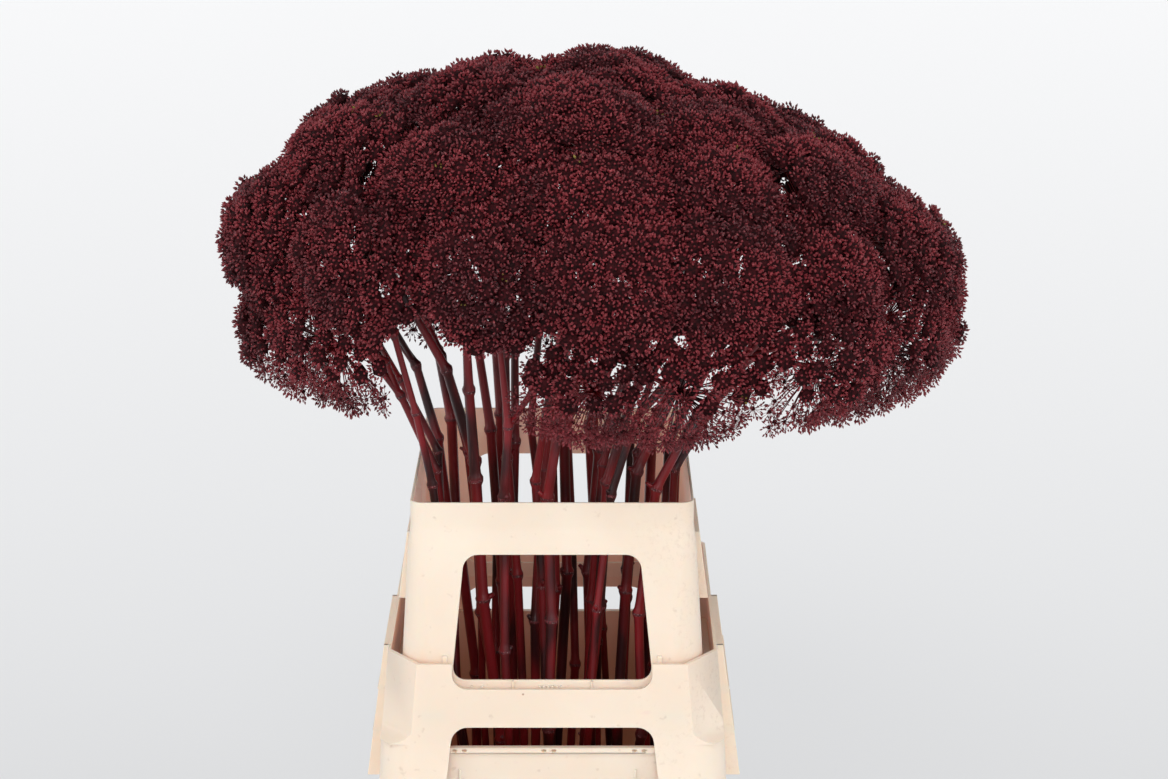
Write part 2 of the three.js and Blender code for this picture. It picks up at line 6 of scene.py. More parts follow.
import logging
import math
from collections.abc import Callable, Iterable
from dataclasses import dataclass
from enum import Enum

import bmesh
import bpy
from mathutils import Matrix, Quaternion, Vector


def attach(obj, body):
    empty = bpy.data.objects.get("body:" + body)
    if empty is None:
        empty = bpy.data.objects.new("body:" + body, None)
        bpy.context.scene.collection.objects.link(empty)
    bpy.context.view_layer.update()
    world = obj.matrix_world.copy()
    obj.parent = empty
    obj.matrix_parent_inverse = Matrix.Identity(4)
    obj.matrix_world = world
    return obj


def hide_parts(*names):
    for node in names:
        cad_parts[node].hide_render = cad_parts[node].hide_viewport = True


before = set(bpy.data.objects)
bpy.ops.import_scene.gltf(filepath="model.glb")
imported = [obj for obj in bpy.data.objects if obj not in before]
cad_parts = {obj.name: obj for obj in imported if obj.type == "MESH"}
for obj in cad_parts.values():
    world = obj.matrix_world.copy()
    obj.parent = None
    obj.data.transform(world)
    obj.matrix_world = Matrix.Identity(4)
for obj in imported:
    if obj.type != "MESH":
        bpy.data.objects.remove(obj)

LOG = logging.getLogger("bishops_flowers")

BODY = "root"
MILLIMETRE = 0.001
GOLDEN = math.pi * (3 - math.sqrt(5))
UP = Vector((0, 0, 1))
WORD = 0xFFFFFFFF

Pair = tuple[float, float]
Triple = tuple[float, float, float]


class Paint(Enum):
    """The finishes of a flower, in the order of its material slots."""

    STEM = 0
    SCAR = 1
    FRUIT = 2
    # painted shade: the near-black middle of each umbellet
    HEART = 3
    YOUNG = 4


class Plastic(Enum):
    """The finishes of a moulding, in the order of its material slots."""

    OUTSIDE = 0
    INSIDE = 1


# ---------------------------------------------------------------- draws and layout


def product(a: int, b: int) -> int:
    """Return the product of two words, kept to 32 bits."""
    return (a * b) & WORD


class Draws:
    """Repeatable draws between 0 and 1."""

    def __init__(self, seed: int) -> None:
        """Start the draws at a seed."""
        self.state = seed & WORD

    def next(self) -> float:
        """Return the next draw.

        Returns:
            A number from 0 up to 1.
        """
        self.state = (self.state + 0x6D2B79F5) & WORD
        t = product(self.state ^ (self.state >> 15), self.state | 1)
        t = ((t + product(t ^ (t >> 7), t | 61)) & WORD) ^ t
        return (t ^ (t >> 14)) / 4294967296

    def spread(self, amount: float) -> float:
        """Return a draw between minus and plus an amount."""
        return (self.next() * 2 - 1) * amount

    def between(self, low: float, high: float) -> float:
        """Return a draw between two values."""
        return low + (high - low) * self.next()


@dataclass(frozen=True)
class Head:
    """A compound umbel: the middle of its top, the way it faces, its hub and its radius."""

    top: Vector
    axis: Vector
    lift: float
    hub: Vector
    radius: float
    hanging: bool


@dataclass(frozen=True)
class Knot:
    """A place on a stem and the stem's radius there."""

    at: Vector
    radius: float


@dataclass(frozen=True)
class Flower:
    """One flower: its stem, its side branch if it has one, and its heads."""

    name: str
    rods: list[list[Knot]]
    heads: list[Head]


@dataclass
class Standing:
    """Where one stem stands before its neighbours push it aside."""

    head: Head
    mouth: list[float]
    foot: list[float]
    thick: float
    bends: list[Pair]
    side: Head
    forked: bool


@dataclass(frozen=True)
class Ring:
    """A ring of flowers: how many, how high up the crown, and how far out at mouth and foot."""

    count: int
    climb: float
    turn: float
    mouth: float
    foot: float


@dataclass(frozen=True)
class Spreads:
    """How far the draws let a flower stray, angles of bearing and climb in degrees."""

    azimuth: float = 3
    climb: float = 2.5
    head_size: float = 0.08
    mouth_angle: float = 0.12
    mouth: float = 0.05
    foot_angle: float = 0.3
    foot: float = 0.08
    thick: float = 0.2
    bend: float = 4


@dataclass(frozen=True)
class Crown:
    """The crown of heads: its middle and its reach across, front to back, up and down."""

    centre: Triple = (46, 0, 583)
    across: float = 312
    deep: float = 238
    up: float = 190
    down: float = 140
    skew: float = 0.12
    upright: float = 0.3
    lift: float = 11
    head_radius: float = 60
    head_depth: float = 46

    def reach(self, z: float) -> Vector:
        """Return the three half sizes that hold above or below the middle."""
        return Vector((self.across, self.deep, self.up if z > 0 else self.down))

    def point(self, way: Vector, lift: float) -> Vector:
        """Return the place on the crown's surface in a direction, moved out by a lift.

        Args:
            way: The direction from the crown's middle, in units of its half sizes.
            lift: How far above the surface, in millimetres.

        Returns:
            The place in millimetres.
        """
        arm = way * self.reach(way.z)
        swell = 1 - 2 * self.skew * way.x * max(way.z, 0)
        return arm * (swell + lift / arm.length) + Vector(self.centre)

    def way(self, place: Vector) -> Vector:
        """Return the direction in which a place is seen from the crown's middle.

        Args:
            place: The place in millimetres.

        Returns:
            The direction, in units of the crown's half sizes.
        """
        arm = place - Vector(self.centre)
        size = self.reach(arm.z)
        return Vector((arm.x / size.x, arm.y / size.y, arm.z / size.z)).normalized()

    def head(self, azimuth: float, climb: float, lift: float, size: float) -> Head:
        """Place a head on the crown.

        Args:
            azimuth: The head's bearing seen from above, in degrees.
            climb: How high up the crown it sits, in degrees.
            lift: How far it stands out of the crown.
            size: Its radius as a share of the usual one.

        Returns:
            The head.
        """
        a, e = math.radians(azimuth), math.radians(climb)
        way = Vector((math.cos(e) * math.cos(a), math.cos(e) * math.sin(a), math.sin(e)))
        reach = self.reach(way.z)
        normal = Vector((way.x / reach.x, way.y / reach.y, way.z / reach.z)).normalized()
        axis = (normal + UP * self.upright).normalized()
        top = self.point(way, lift)
        hub = top - axis * self.head_depth
        return Head(top, axis, lift, hub, self.head_radius * size, climb < 0)


@dataclass(frozen=True)
class StemSizes:
    """Radii and heights of the stems, where they stand, and how they are kept apart."""

    base: float = 4.3
    mouth: float = 3.6
    tip: float = 2.3
    swell: float = 1.22
    mouth_height: float = 440
    foot_height: float = 3.3
    mouth_half: Pair = (104, 125)
    foot_half: Pair = (103, 128)
    room: float = 1.5
    passes: int = 80
    steady: float = 0.2
    tiny: float = 1e-6
    handle: float = 0.4
    splay: float = 0.35
    taper: float = 0.4
    joints: Pair = (0.3, 0.68)
    side_joints: Pair = (0.35, 0.7)


@dataclass(frozen=True)
class SuperEllipse:
    """A rounded rectangle, from its middle to its half sizes."""

    half: Pair

    def at(self, angle: float, share: float) -> list[float]:
        """Return the place at an angle and a share of the way out.

        Args:
            angle: The bearing seen from above, in radians.
            share: 0 at the middle and 1 on the outline.

        Returns:
            The place's x and y.
        """
        c, s = math.cos(angle), math.sin(angle)
        reach = (abs(c / self.half[0]) ** 4 + abs(s / self.half[1]) ** 4) ** -0.25
        return [reach * c * share, reach * s * share]


@dataclass
class Bunch:
    """The layout of all the flowers, from the same draws as the solids."""

    crown: Crown = Crown()
    stem: StemSizes = StemSizes()
    spreads: Spreads = Spreads()
    seed: int = 11
    rings: tuple[Ring, ...] = (
        Ring(1, 88, 100, 0.04, 0.05),
        Ring(6, 66, 20, 0.36, 0.25),
        Ring(11, 43, 5, 0.66, 0.44),
        Ring(16, 18, 0, 0.96, 0.7),
    )
    hem_climb: float = -17
    hem_sag: float = 5
    hem_wave: float = 8
    hem_waves: float = 4.5
    hem_lowest: float = 350
    hem_turn: float = 15
    hem_gap: Pair = (225, 255)

    def flowers(self) -> list[Flower]:
        """Lay out the flowers.

        Returns:
            The flowers in the order of their nodes.
        """
        draws = Draws(self.seed)
        last = self.rings[-1]
        standing = [
            self.stand(draws, ring, index, ring is last)
            for ring in self.rings
            for index in range(ring.count)
        ]
        for _ in range(self.stem.passes):
            self.part(standing)
        return [self.grow(one, index) for index, one in enumerate(standing)]

    def stand(self, draws: Draws, ring: Ring, index: int, outer: bool) -> Standing:
        """Draw where one stem stands and which heads it carries.

        Args:
            draws: The bunch's draws.
            ring: The ring that the flower is in.
            index: The flower's number in its ring.
            outer: Whether the ring is the outermost one, whose flowers have side branches.

        Returns:
            The stem's place, heads and bends.
        """
        by = self.spreads
        azimuth = ring.turn + 360 * index / ring.count + draws.spread(by.azimuth)
        angle = math.radians(azimuth)
        side_turn = azimuth + self.hem_turn
        head = self.draw_head(draws, azimuth, ring.climb)
        mouth = SuperEllipse(self.stem.mouth_half).at(
            angle + draws.spread(by.mouth_angle), ring.mouth + draws.spread(by.mouth)
        )
        foot = SuperEllipse(self.stem.foot_half).at(
            angle + draws.spread(by.foot_angle), ring.foot + draws.spread(by.foot)
        )
        thick = 1 + draws.spread(by.thick)
        bends = [(draws.spread(by.bend), draws.spread(by.bend)) for _ in self.stem.joints]
        wave = self.hem_wave * math.cos(self.hem_waves * math.radians(side_turn - self.hem_lowest))
        low = self.hem_climb - self.hem_sag * math.cos(angle) - wave
        side = self.draw_head(draws, side_turn + draws.spread(by.azimuth), low)
        forked = outer and not self.hem_gap[0] <= side_turn <= self.hem_gap[1]
        return Standing(head, mouth, foot, thick, bends, side, forked)

    def draw_head(self, draws: Draws, azimuth: float, climb: float) -> Head:
        """Draw a head near a bearing and a climb, in degrees.

        Args:
            draws: The bunch's draws.
            azimuth: The head's bearing.
            climb: How high up the crown it sits, before the draw.

        Returns:
            The head.
        """
        by = self.spreads
        near = climb + draws.spread(by.climb)
        lift = draws.spread(self.crown.lift)
        return self.crown.head(azimuth, near, lift, 1 + draws.spread(by.head_size))

    def part(self, stems: list[Standing]) -> None:
        """Move feet and mouth points apart wherever two stems come too close.

        Args:
            stems: All the stems, whose points are moved in place.
        """
        for i, a in enumerate(stems):
            for b in stems[i + 1 :]:
                low = [a.foot[k] - b.foot[k] for k in (0, 1)]
                run = [a.mouth[k] - b.mouth[k] - low[k] for k in (0, 1)]
                length = run[0] ** 2 + run[1] ** 2 + self.stem.tiny
                t = min(1, max(0, -(low[0] * run[0] + low[1] * run[1]) / length))
                gap = [low[k] + run[k] * t for k in (0, 1)]
                wide = math.hypot(*gap) + self.stem.tiny
                need = (a.thick + b.thick) * self.stem.base * self.stem.swell + self.stem.room
                if wide >= need:
                    continue
                push = (need - wide) / wide / 2
                for k in (0, 1):
                    a.foot[k] += gap[k] * push * (1 + self.stem.steady - t)
                    b.foot[k] -= gap[k] * push * (1 + self.stem.steady - t)
                    a.mouth[k] += gap[k] * push * (self.stem.steady + t)
                    b.mouth[k] -= gap[k] * push * (self.stem.steady + t)

    def between(
        self, start: Vector, leave: Vector, end: Vector, arrive: Vector, share: float
    ) -> Vector:
        """Return the place at a share of a smooth way with given end directions.

        Args:
            start: Where the way starts.
            leave: Its direction there.
            end: Where it ends.
            arrive: Its direction there.
            share: How much of the way is behind the place.

        Returns:
            The place in millimetres.
        """
        handle = (end - start).length * self.stem.handle
        first, second = start + leave * handle, end - arrive * handle
        rest = 1 - share
        return (
            start * rest**3
            + first * (3 * rest**2 * share)
            + second * (3 * rest * share**2)
            + end * share**3
        )

    def grow(self, one: Standing, index: int) -> Flower:
        """Turn a standing place into a flower's stem, branch and heads.

        Args:
            one: Where the stem stands.
            index: The flower's number, from 0.

        Returns:
            The flower.
        """
        size = self.stem
        low = Vector((*one.foot, size.foot_height))
        neck = Vector((*one.mouth, size.mouth_height))
        crest = one.head.hub + one.head.axis
        leave = (neck - low).normalized().lerp((crest - neck).normalized(), size.splay).normalized()
        fork, shoulder = (
            self.between(neck, leave, crest, one.head.axis, share) + Vector((*bend, 0))
            for share, bend in zip(size.joints, one.bends)
        )
        slim = size.mouth + (size.tip - size.mouth) * size.taper
        rods = [
            [
                Knot(low, size.base * one.thick),
                Knot(neck, size.mouth * one.thick * size.swell),
                Knot(fork, slim * one.thick * size.swell),
                Knot(shoulder, size.tip * size.swell),
                Knot(crest, size.tip),
            ]
        ]
        heads = [one.head]
        if one.forked:
            end = one.side.hub + one.side.axis
            first, second = (
                self.between(fork, leave, end, one.side.axis, share) for share in size.side_joints
            )
            rods.append(
                [
                    Knot(fork.copy(), size.tip),
                    Knot(first, size.tip * size.swell),
                    Knot(second, size.tip),
                    Knot(end, size.tip),
                ]
            )
            heads.append(one.side)
        return Flower(f"flower_{index + 1:02d}", rods, heads)


# ---------------------------------------------------------------- shader maths


class Value:
    """A shader value: an expression on it adds its Math nodes."""

    def __init__(self, shader: "Shader", socket: bpy.types.NodeSocket) -> None:
        """Wrap an output socket of a shader."""
        self.shader = shader
        self.socket = socket

    def math(self, operation: str, *others: "Value | float") -> "Value":
        """Return the outcome of a Math operation on this value and others."""
        return self.shader.math(operation, self, *others)

    def __add__(self, other: "Value | float") -> "Value":
        """Return the sum."""
        return self.math("ADD", other)

    __radd__ = __add__

    def __sub__(self, other: "Value | float") -> "Value":
        """Return the difference."""
        return self.math("SUBTRACT", other)

    def __rsub__(self, other: float) -> "Value":
        """Return a number less this value."""
        return self.shader.math("SUBTRACT", other, self)

    def __mul__(self, other: "Value | float") -> "Value":
        """Return the product."""
        return self.math("MULTIPLY", other)

    __rmul__ = __mul__

    def __truediv__(self, other: "Value | float") -> "Value":
        """Return the quotient."""
        return self.math("DIVIDE", other)

    def __rtruediv__(self, other: float) -> "Value":
        """Return a number divided by this value."""
        return self.shader.math("DIVIDE", other, self)

    def between(self, low: float, high: float) -> "Value":
        """Return 0 below the lower value, 1 above the upper one, and smooth steps between.

        Args:
            low: The value that becomes 0.
            high: The value that becomes 1.

        Returns:
            The new value.
        """
        node = self.shader.node(
            "ShaderNodeMapRange",
            {"interpolation_type": "SMOOTHSTEP"},
            {"Value": self, "From Min": low, "From Max": high},
        )
        return Value(self.shader, node.outputs["Result"])


class Shader:
    """A material's node tree, with one method that adds any node."""

    def __init__(self, name: str) -> None:
        """Start a material with a principled surface.

        Args:
            name: The material's name.
        """
        self.material = bpy.data.materials.new(name)
        self.material.use_nodes = True
        self.tree = self.material.node_tree
        self.surface = self.tree.nodes["Principled BSDF"]
        self.place = self.node("ShaderNodeTexCoord").outputs["Object"]

    def node(
        self, kind: str, settings: dict | None = None, inputs: dict | None = None
    ) -> bpy.types.Node:
        """Add a node.

        Args:
            kind: The node's type.
            settings: Properties of the node, which are set first.
            inputs: Values or links of its sockets, by name or number.

        Returns:
            The new node.
        """
        node = self.tree.nodes.new(kind)
        for name, setting in (settings or {}).items():
            setattr(node, name, setting)
        for name, value in (inputs or {}).items():
            self.feed(node.inputs[name], value)
        return node

    def feed(
        self, socket: bpy.types.NodeSocket, value: "Value | bpy.types.NodeSocket | float | tuple"
    ) -> None:
        """Link a socket, or set it where the value is plain.

        Args:
            socket: The input socket.
            value: What it is linked or set to.
        """
        if isinstance(value, Value):
            value = value.socket
        if isinstance(value, bpy.types.NodeSocket):
            self.tree.links.new(value, socket)
        else:
            socket.default_value = value

    def math(self, operation: str, *values: Value | float) -> Value:
        """Return the outcome of a Math operation on some values."""
        node = self.node("ShaderNodeMath", {"operation": operation}, dict(enumerate(values)))
        return Value(self, node.outputs[0])

    def scaled(self, scale: Triple) -> bpy.types.NodeSocket:
        """Return the object's coordinates with each axis scaled."""
        mapped = self.node("ShaderNodeMapping", None, {"Vector": self.place, "Scale": scale})
        return mapped.outputs[0]

    def noise(
        self, scale: float, detail: float = 2, roughness: float = 0.5, stretch: Triple = (1, 1, 1)
    ) -> Value:
        """Return a noise over the object's coordinates.

        Args:
            scale: Lumps to a metre.
            detail: How many finer layers are added.
            roughness: How strong the finer layers are.
            stretch: The scale of each axis.

        Returns:
            The noise, about 0.5 on average.
        """
        inputs = {"Scale": scale, "Detail": detail, "Roughness": roughness}
        inputs["Vector"] = self.scaled(stretch)
        return Value(self, self.node("ShaderNodeTexNoise", None, inputs).outputs[0])

    def cells(self, scale: float) -> tuple[Value, Value]:
        """Return the distance to the nearest of some scattered points, and a draw for each.

        Args:
            scale: Points to a metre.

        Returns:
            The distance, and the nearest point's draw.
        """
        node = self.node("ShaderNodeTexVoronoi", None, {"Vector": self.place, "Scale": scale})
        parts = self.node("ShaderNodeSeparateXYZ", None, {"Vector": node.outputs["Color"]})
        return Value(self, node.outputs["Distance"]), Value(self, parts.outputs[0])

    def along(self, axis: str) -> Value:
        """Return the place along an axis, X, Y or Z, in metres."""
        parts = self.node("ShaderNodeSeparateXYZ", None, {"Vector": self.place})
        return Value(self, parts.outputs[axis])

    def blend(
        self,
        share: Value | float,
        first: Triple | bpy.types.NodeSocket,
        second: Triple | bpy.types.NodeSocket,
    ) -> bpy.types.NodeSocket:
        """Return a colour between two others.

        Args:
            share: 0 for the first colour and 1 for the second.
            first: The first colour.
            second: The second colour.

        Returns:
            The blended colour's socket.
        """
        node = self.node("ShaderNodeMix", {"data_type": "RGBA"})
        for name, value in (("Factor_Float", share), ("A_Color", first), ("B_Color", second)):
            socket = next(s for s in node.inputs if s.identifier == name)
            self.feed(socket, (*value, 1) if isinstance(value, tuple) else value)
        return next(s for s in node.outputs if s.identifier == "Result_Color")

    def bump(self, relief: Value, strength: float, depth: float) -> None:
        """Raise the surface by a relief of a given depth in metres.

        Args:
            relief: The relief, from 0 to 1.
            strength: How strongly it shows.
            depth: The relief's depth.
        """
        inputs = {"Height": relief, "Strength": strength, "Distance": depth}
        bumped = self.node("ShaderNodeBump", None, inputs)
        self.feed(self.surface.inputs["Normal"], bumped.outputs["Normal"])

    def dress(self, inputs: dict) -> bpy.types.Material:
        """Feed the surface and return the finished material.

        Args:
            inputs: Values or links of the surface's sockets, by name.

        Returns:
            The material.
        """
        for name, value in inputs.items():
            self.feed(self.surface.inputs[name], value)
        return self.material


# ---------------------------------------------------------------- finishes


THIN_PLASTIC = {
    "Subsurface Radius": (1.0, 0.6, 0.4),
    "Subsurface Scale": 0.004,
}


@dataclass(frozen=True)
class CreamPlastic:
    """The outside of the mouldings: warm cream, faintly pitted, with a few specks and scuffs."""

    pale: Triple = (0.88, 0.755, 0.63)
    warm: Triple = (0.83, 0.69, 0.56)
    dirt: Triple = (0.36, 0.20, 0.12)
    scuff: Triple = (0.80, 0.60, 0.54)

    def make(self) -> bpy.types.Material:
        """Make the finish.

        Returns:
            The material.
        """
        shader = Shader("cream_plastic")
        cloud = shader.noise(7, 3)
        distance, draw = shader.cells(45)
        specks = (1 - distance.between(0.03, 0.055)) * draw.between(0.90, 0.92)
        scuffs = shader.noise(26, 4, 0.6, (1, 1, 2.5)).between(0.66, 0.74) * 0.35
        worn = shader.along("X").between(0.03, 0.11) * shader.noise(24, 2).between(0.45, 0.62)
        grime = shader.noise(120, 2).between(0.66, 0.78) * 0.22
        grime = grime + shader.noise(260, 4, 0.7).between(0.48, 0.80) * worn * 0.24
        colour = shader.blend(cloud.between(0.3, 0.7), self.pale, self.warm)
        colour = shader.blend(scuffs, colour, self.scuff)
        colour = shader.blend(grime, colour, self.dirt)
        colour = shader.blend(specks * 0.8, colour, self.dirt)
        shader.bump(shader.noise(1500, 2) + shader.noise(60, 2) * 0.6, 0.25, 0.0002)
        return shader.dress({
            "Base Color": colour,
            "Roughness": 0.36 + cloud * 0.16 + scuffs * 0.3,
            "Subsurface Weight": 0.4,
            **THIN_PLASTIC,
        })


@dataclass(frozen=True)
class StainedShadedGlowingPlastic:
    """The inside of the mouldings: streaked by the paint's stain, darker and browner lower down as
    stain and painted shade, with a painted glow, brighter high up, standing in for daylight through
    the plastic.
    """

    # high and low: lighter high up and darker lower down, partly the paint's stain and partly
    # painted shade deep inside
    high: Triple = (0.93, 0.76, 0.65)
    low: Triple = (0.62, 0.37, 0.25)
    stain: Triple = (0.30, 0.10, 0.07)
    # lit and dim: a painted glow, brighter high up and fainter low down, standing in for daylight
    # through the plastic
    lit: Triple = (0.17, 0.110, 0.088)
    dim: Triple = (0.030, 0.012, 0.006)

    def make(self) -> bpy.types.Material:
        """Make the finish.

        Returns:
            The material.
        """
        shader = Shader("stained_shaded_glowing_plastic")
        streaks = shader.noise(22, 3, 0.55, (1, 1, 0.22))
        # height: 0 low down and 1 high up; it darkens and browns the colour lower down as stain and
        # painted shade, and brightens the painted glow higher up
        height = shader.along("Z").between(0.15, 0.43)
        colour = shader.blend(height, self.low, self.high)
        colour = shader.blend(streaks.between(0.45, 0.75) * 0.35, colour, self.stain)
        shader.bump(shader.noise(900, 2), 0.2, 0.0002)
        return shader.dress({
            "Base Color": colour,
            "Roughness": 0.42 + streaks * 0.2,
            "Subsurface Weight": 0.5,
            **THIN_PLASTIC,
            # painted glow: the inside lights itself, more strongly high up
            "Emission Color": shader.blend(height, self.dim, self.lit),
            "Emission Strength": 1,
        })


@dataclass(frozen=True)
class StemPaint:
    """Glossy dark red paint on a ridged stem, thin in places where green shows through."""

    deep: Triple = (0.026, 0.004, 0.006)
    red: Triple = (0.205, 0.008, 0.013)
    bloom: Triple = (0.26, 0.055, 0.060)
    green: Triple = (0.10, 0.085, 0.018)

    def make(self) -> bpy.types.Material:
        """Make the finish.

        Returns:
            The material.
        """
        shader = Shader("stem_paint")
        cloud = shader.noise(16, 2, 0.5, (1.6, 1.6, 0.6))
        streaks = shader.noise(420, 3, 0.6, (1, 1, 0.05))
        bare = shader.noise(30, 2, 0.5, (1, 1, 0.5)).between(0.69, 0.74)
        colour = shader.blend(cloud.between(0.38, 0.56), self.deep, self.red)
        colour = shader.blend(streaks.between(0.55, 0.85) * 0.30, colour, self.bloom)
        colour = shader.blend(bare * streaks.between(0.35, 0.6) * 0.8, colour, self.green)
        shader.bump(streaks, 0.35, 0.0006)
        return shader.dress({
            "Base Color": colour,
            "Roughness": 0.30 + streaks * 0.25,
            "Specular IOR Level": 0.35,
            "Coat Weight": 0.12,
            "Coat Roughness": 0.15,
        })


@dataclass(frozen=True)
class JointScar:
    """The swollen joints of the stems: rougher, with whitish pink flecks."""

    deep: Triple = (0.045, 0.006, 0.010)
    red: Triple = (0.16, 0.018, 0.026)
    fleck: Triple = (0.52, 0.31, 0.31)

    def make(self) -> bpy.types.Material:
        """Make the finish.

        Returns:
            The material.
        """
        shader = Shader("joint_scar")
        grain = shader.noise(520, 3, 0.6)
        flecks = shader.noise(900, 2).between(0.60, 0.68)
        colour = shader.blend(grain.between(0.35, 0.65), self.deep, self.red)
        colour = shader.blend(flecks * 0.75, colour, self.fleck)
        shader.bump(grain, 0.6, 0.0008)
        return shader.dress({"Base Color": colour, "Roughness": 0.45 + grain * 0.3})


@dataclass(frozen=True)
class FruitPaint:
    """Painted fruits: bordeaux with a pinkish sheen, brighter and duller from patch to patch."""

    dull: Triple = (0.060, 0.006, 0.010)
    wine: Triple = (0.175, 0.015, 0.022)
    bright: Triple = (0.33, 0.042, 0.052)

    def make(self) -> bpy.types.Material:
        """Make the finish.

        Returns:
            The material.
        """
        shader = Shader("fruit_paint")
        patch = shader.noise(17, 2)
        grain = shader.noise(330, 2, 0.6)
        colour = shader.blend(patch.between(0.34, 0.60), self.dull, self.wine)
        colour = shader.blend(grain.between(0.48, 0.68) * 0.75, colour, self.bright)
        return shader.dress({
            "Base Color": colour,
            "Roughness": 0.38 + grain * 0.25,
            "Specular IOR Level": 0.4,
            "Sheen Weight": 0.10,
            "Sheen Roughness": 0.4,
            "Sheen Tint": (0.95, 0.45, 0.50, 1),
        })


@dataclass(frozen=True)
class HeartPaint:
    """A dull finish in two tones: near-black painted shade for the middle of an umbellet, where its
    stalks meet, and yellow-green for young fruits.
    """

    name: str
    deep: Triple
    light: Triple

    def make(self) -> bpy.types.Material:
        """Make the finish.

        Returns:
            The material.
        """
        shader = Shader(self.name)
        grain = shader.noise(400, 2)
        colour = shader.blend(grain.between(0.35, 0.65), self.deep, self.light)
        return shader.dress({
            "Base Color": colour,
            "Roughness": 0.65 + grain * 0.2,
            "Specular IOR Level": 0.1,
        })


# ---------------------------------------------------------------- meshes


def new_mesh(name: str, build: Callable[[bmesh.types.BMesh], None]) -> bpy.types.Mesh:
    """Make a mesh with a function that fills an empty bmesh.

    Args:
        name: The mesh's name.
        build: What fills the bmesh.

    Returns:
        The mesh, in the units that the function worked in.
    """
    bm = bmesh.new()
    build(bm)
    mesh = bpy.data.meshes.new(name)
    bm.to_mesh(mesh)
    bm.free()
    return mesh


def add_copy(bm: bmesh.types.BMesh, template: bpy.types.Mesh, place: Matrix) -> None:
    """Add a moved copy of a template mesh to a bmesh.

    Args:
        bm: The bmesh that is added to.
        template: The mesh that is copied.
        place: Where the copy goes.
    """
    copy = template.copy()
    copy.transform(place)
    bm.from_mesh(copy)
    bpy.data.meshes.remove(copy)


def paint(bm: bmesh.types.BMesh, finish: Enum) -> None:
    """Give all faces of a bmesh a finish."""
    for face in bm.faces:
        face.material_index = finish.value


def add_piece(
    name: str,
    mesh: bpy.types.Mesh,
    node: str,
    materials: Iterable[bpy.types.Material],
) -> bpy.types.Object:
    """Stand a finished mesh in the scene in place of a node.

    Args:
        name: The piece's name.
        mesh: Its mesh in millimetres.
        node: The node that it stands for.
        materials: Its finishes, in the order of its material numbers.

    Returns:
        The piece.
    """
    mesh.transform(Matrix.Diagonal((MILLIMETRE,) * 3 + (1,)))
    for material in materials:
        mesh.materials.append(material)
    piece = bpy.data.objects.new(name, mesh)
    bpy.context.scene.collection.objects.link(piece)
    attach(piece, BODY)
    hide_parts(node)
    LOG.info("%s: %d faces", name, len(mesh.polygons))
    return piece


def turned_to(way: Vector, spin: float = 0) -> Matrix:
    """Return the turn that brings +Z to a way, after a spin about it."""
    return way.to_track_quat("Z", "Y").to_matrix().to_4x4() @ Matrix.Rotation(spin, 4, "Z")


# ---------------------------------------------------------------- flowers


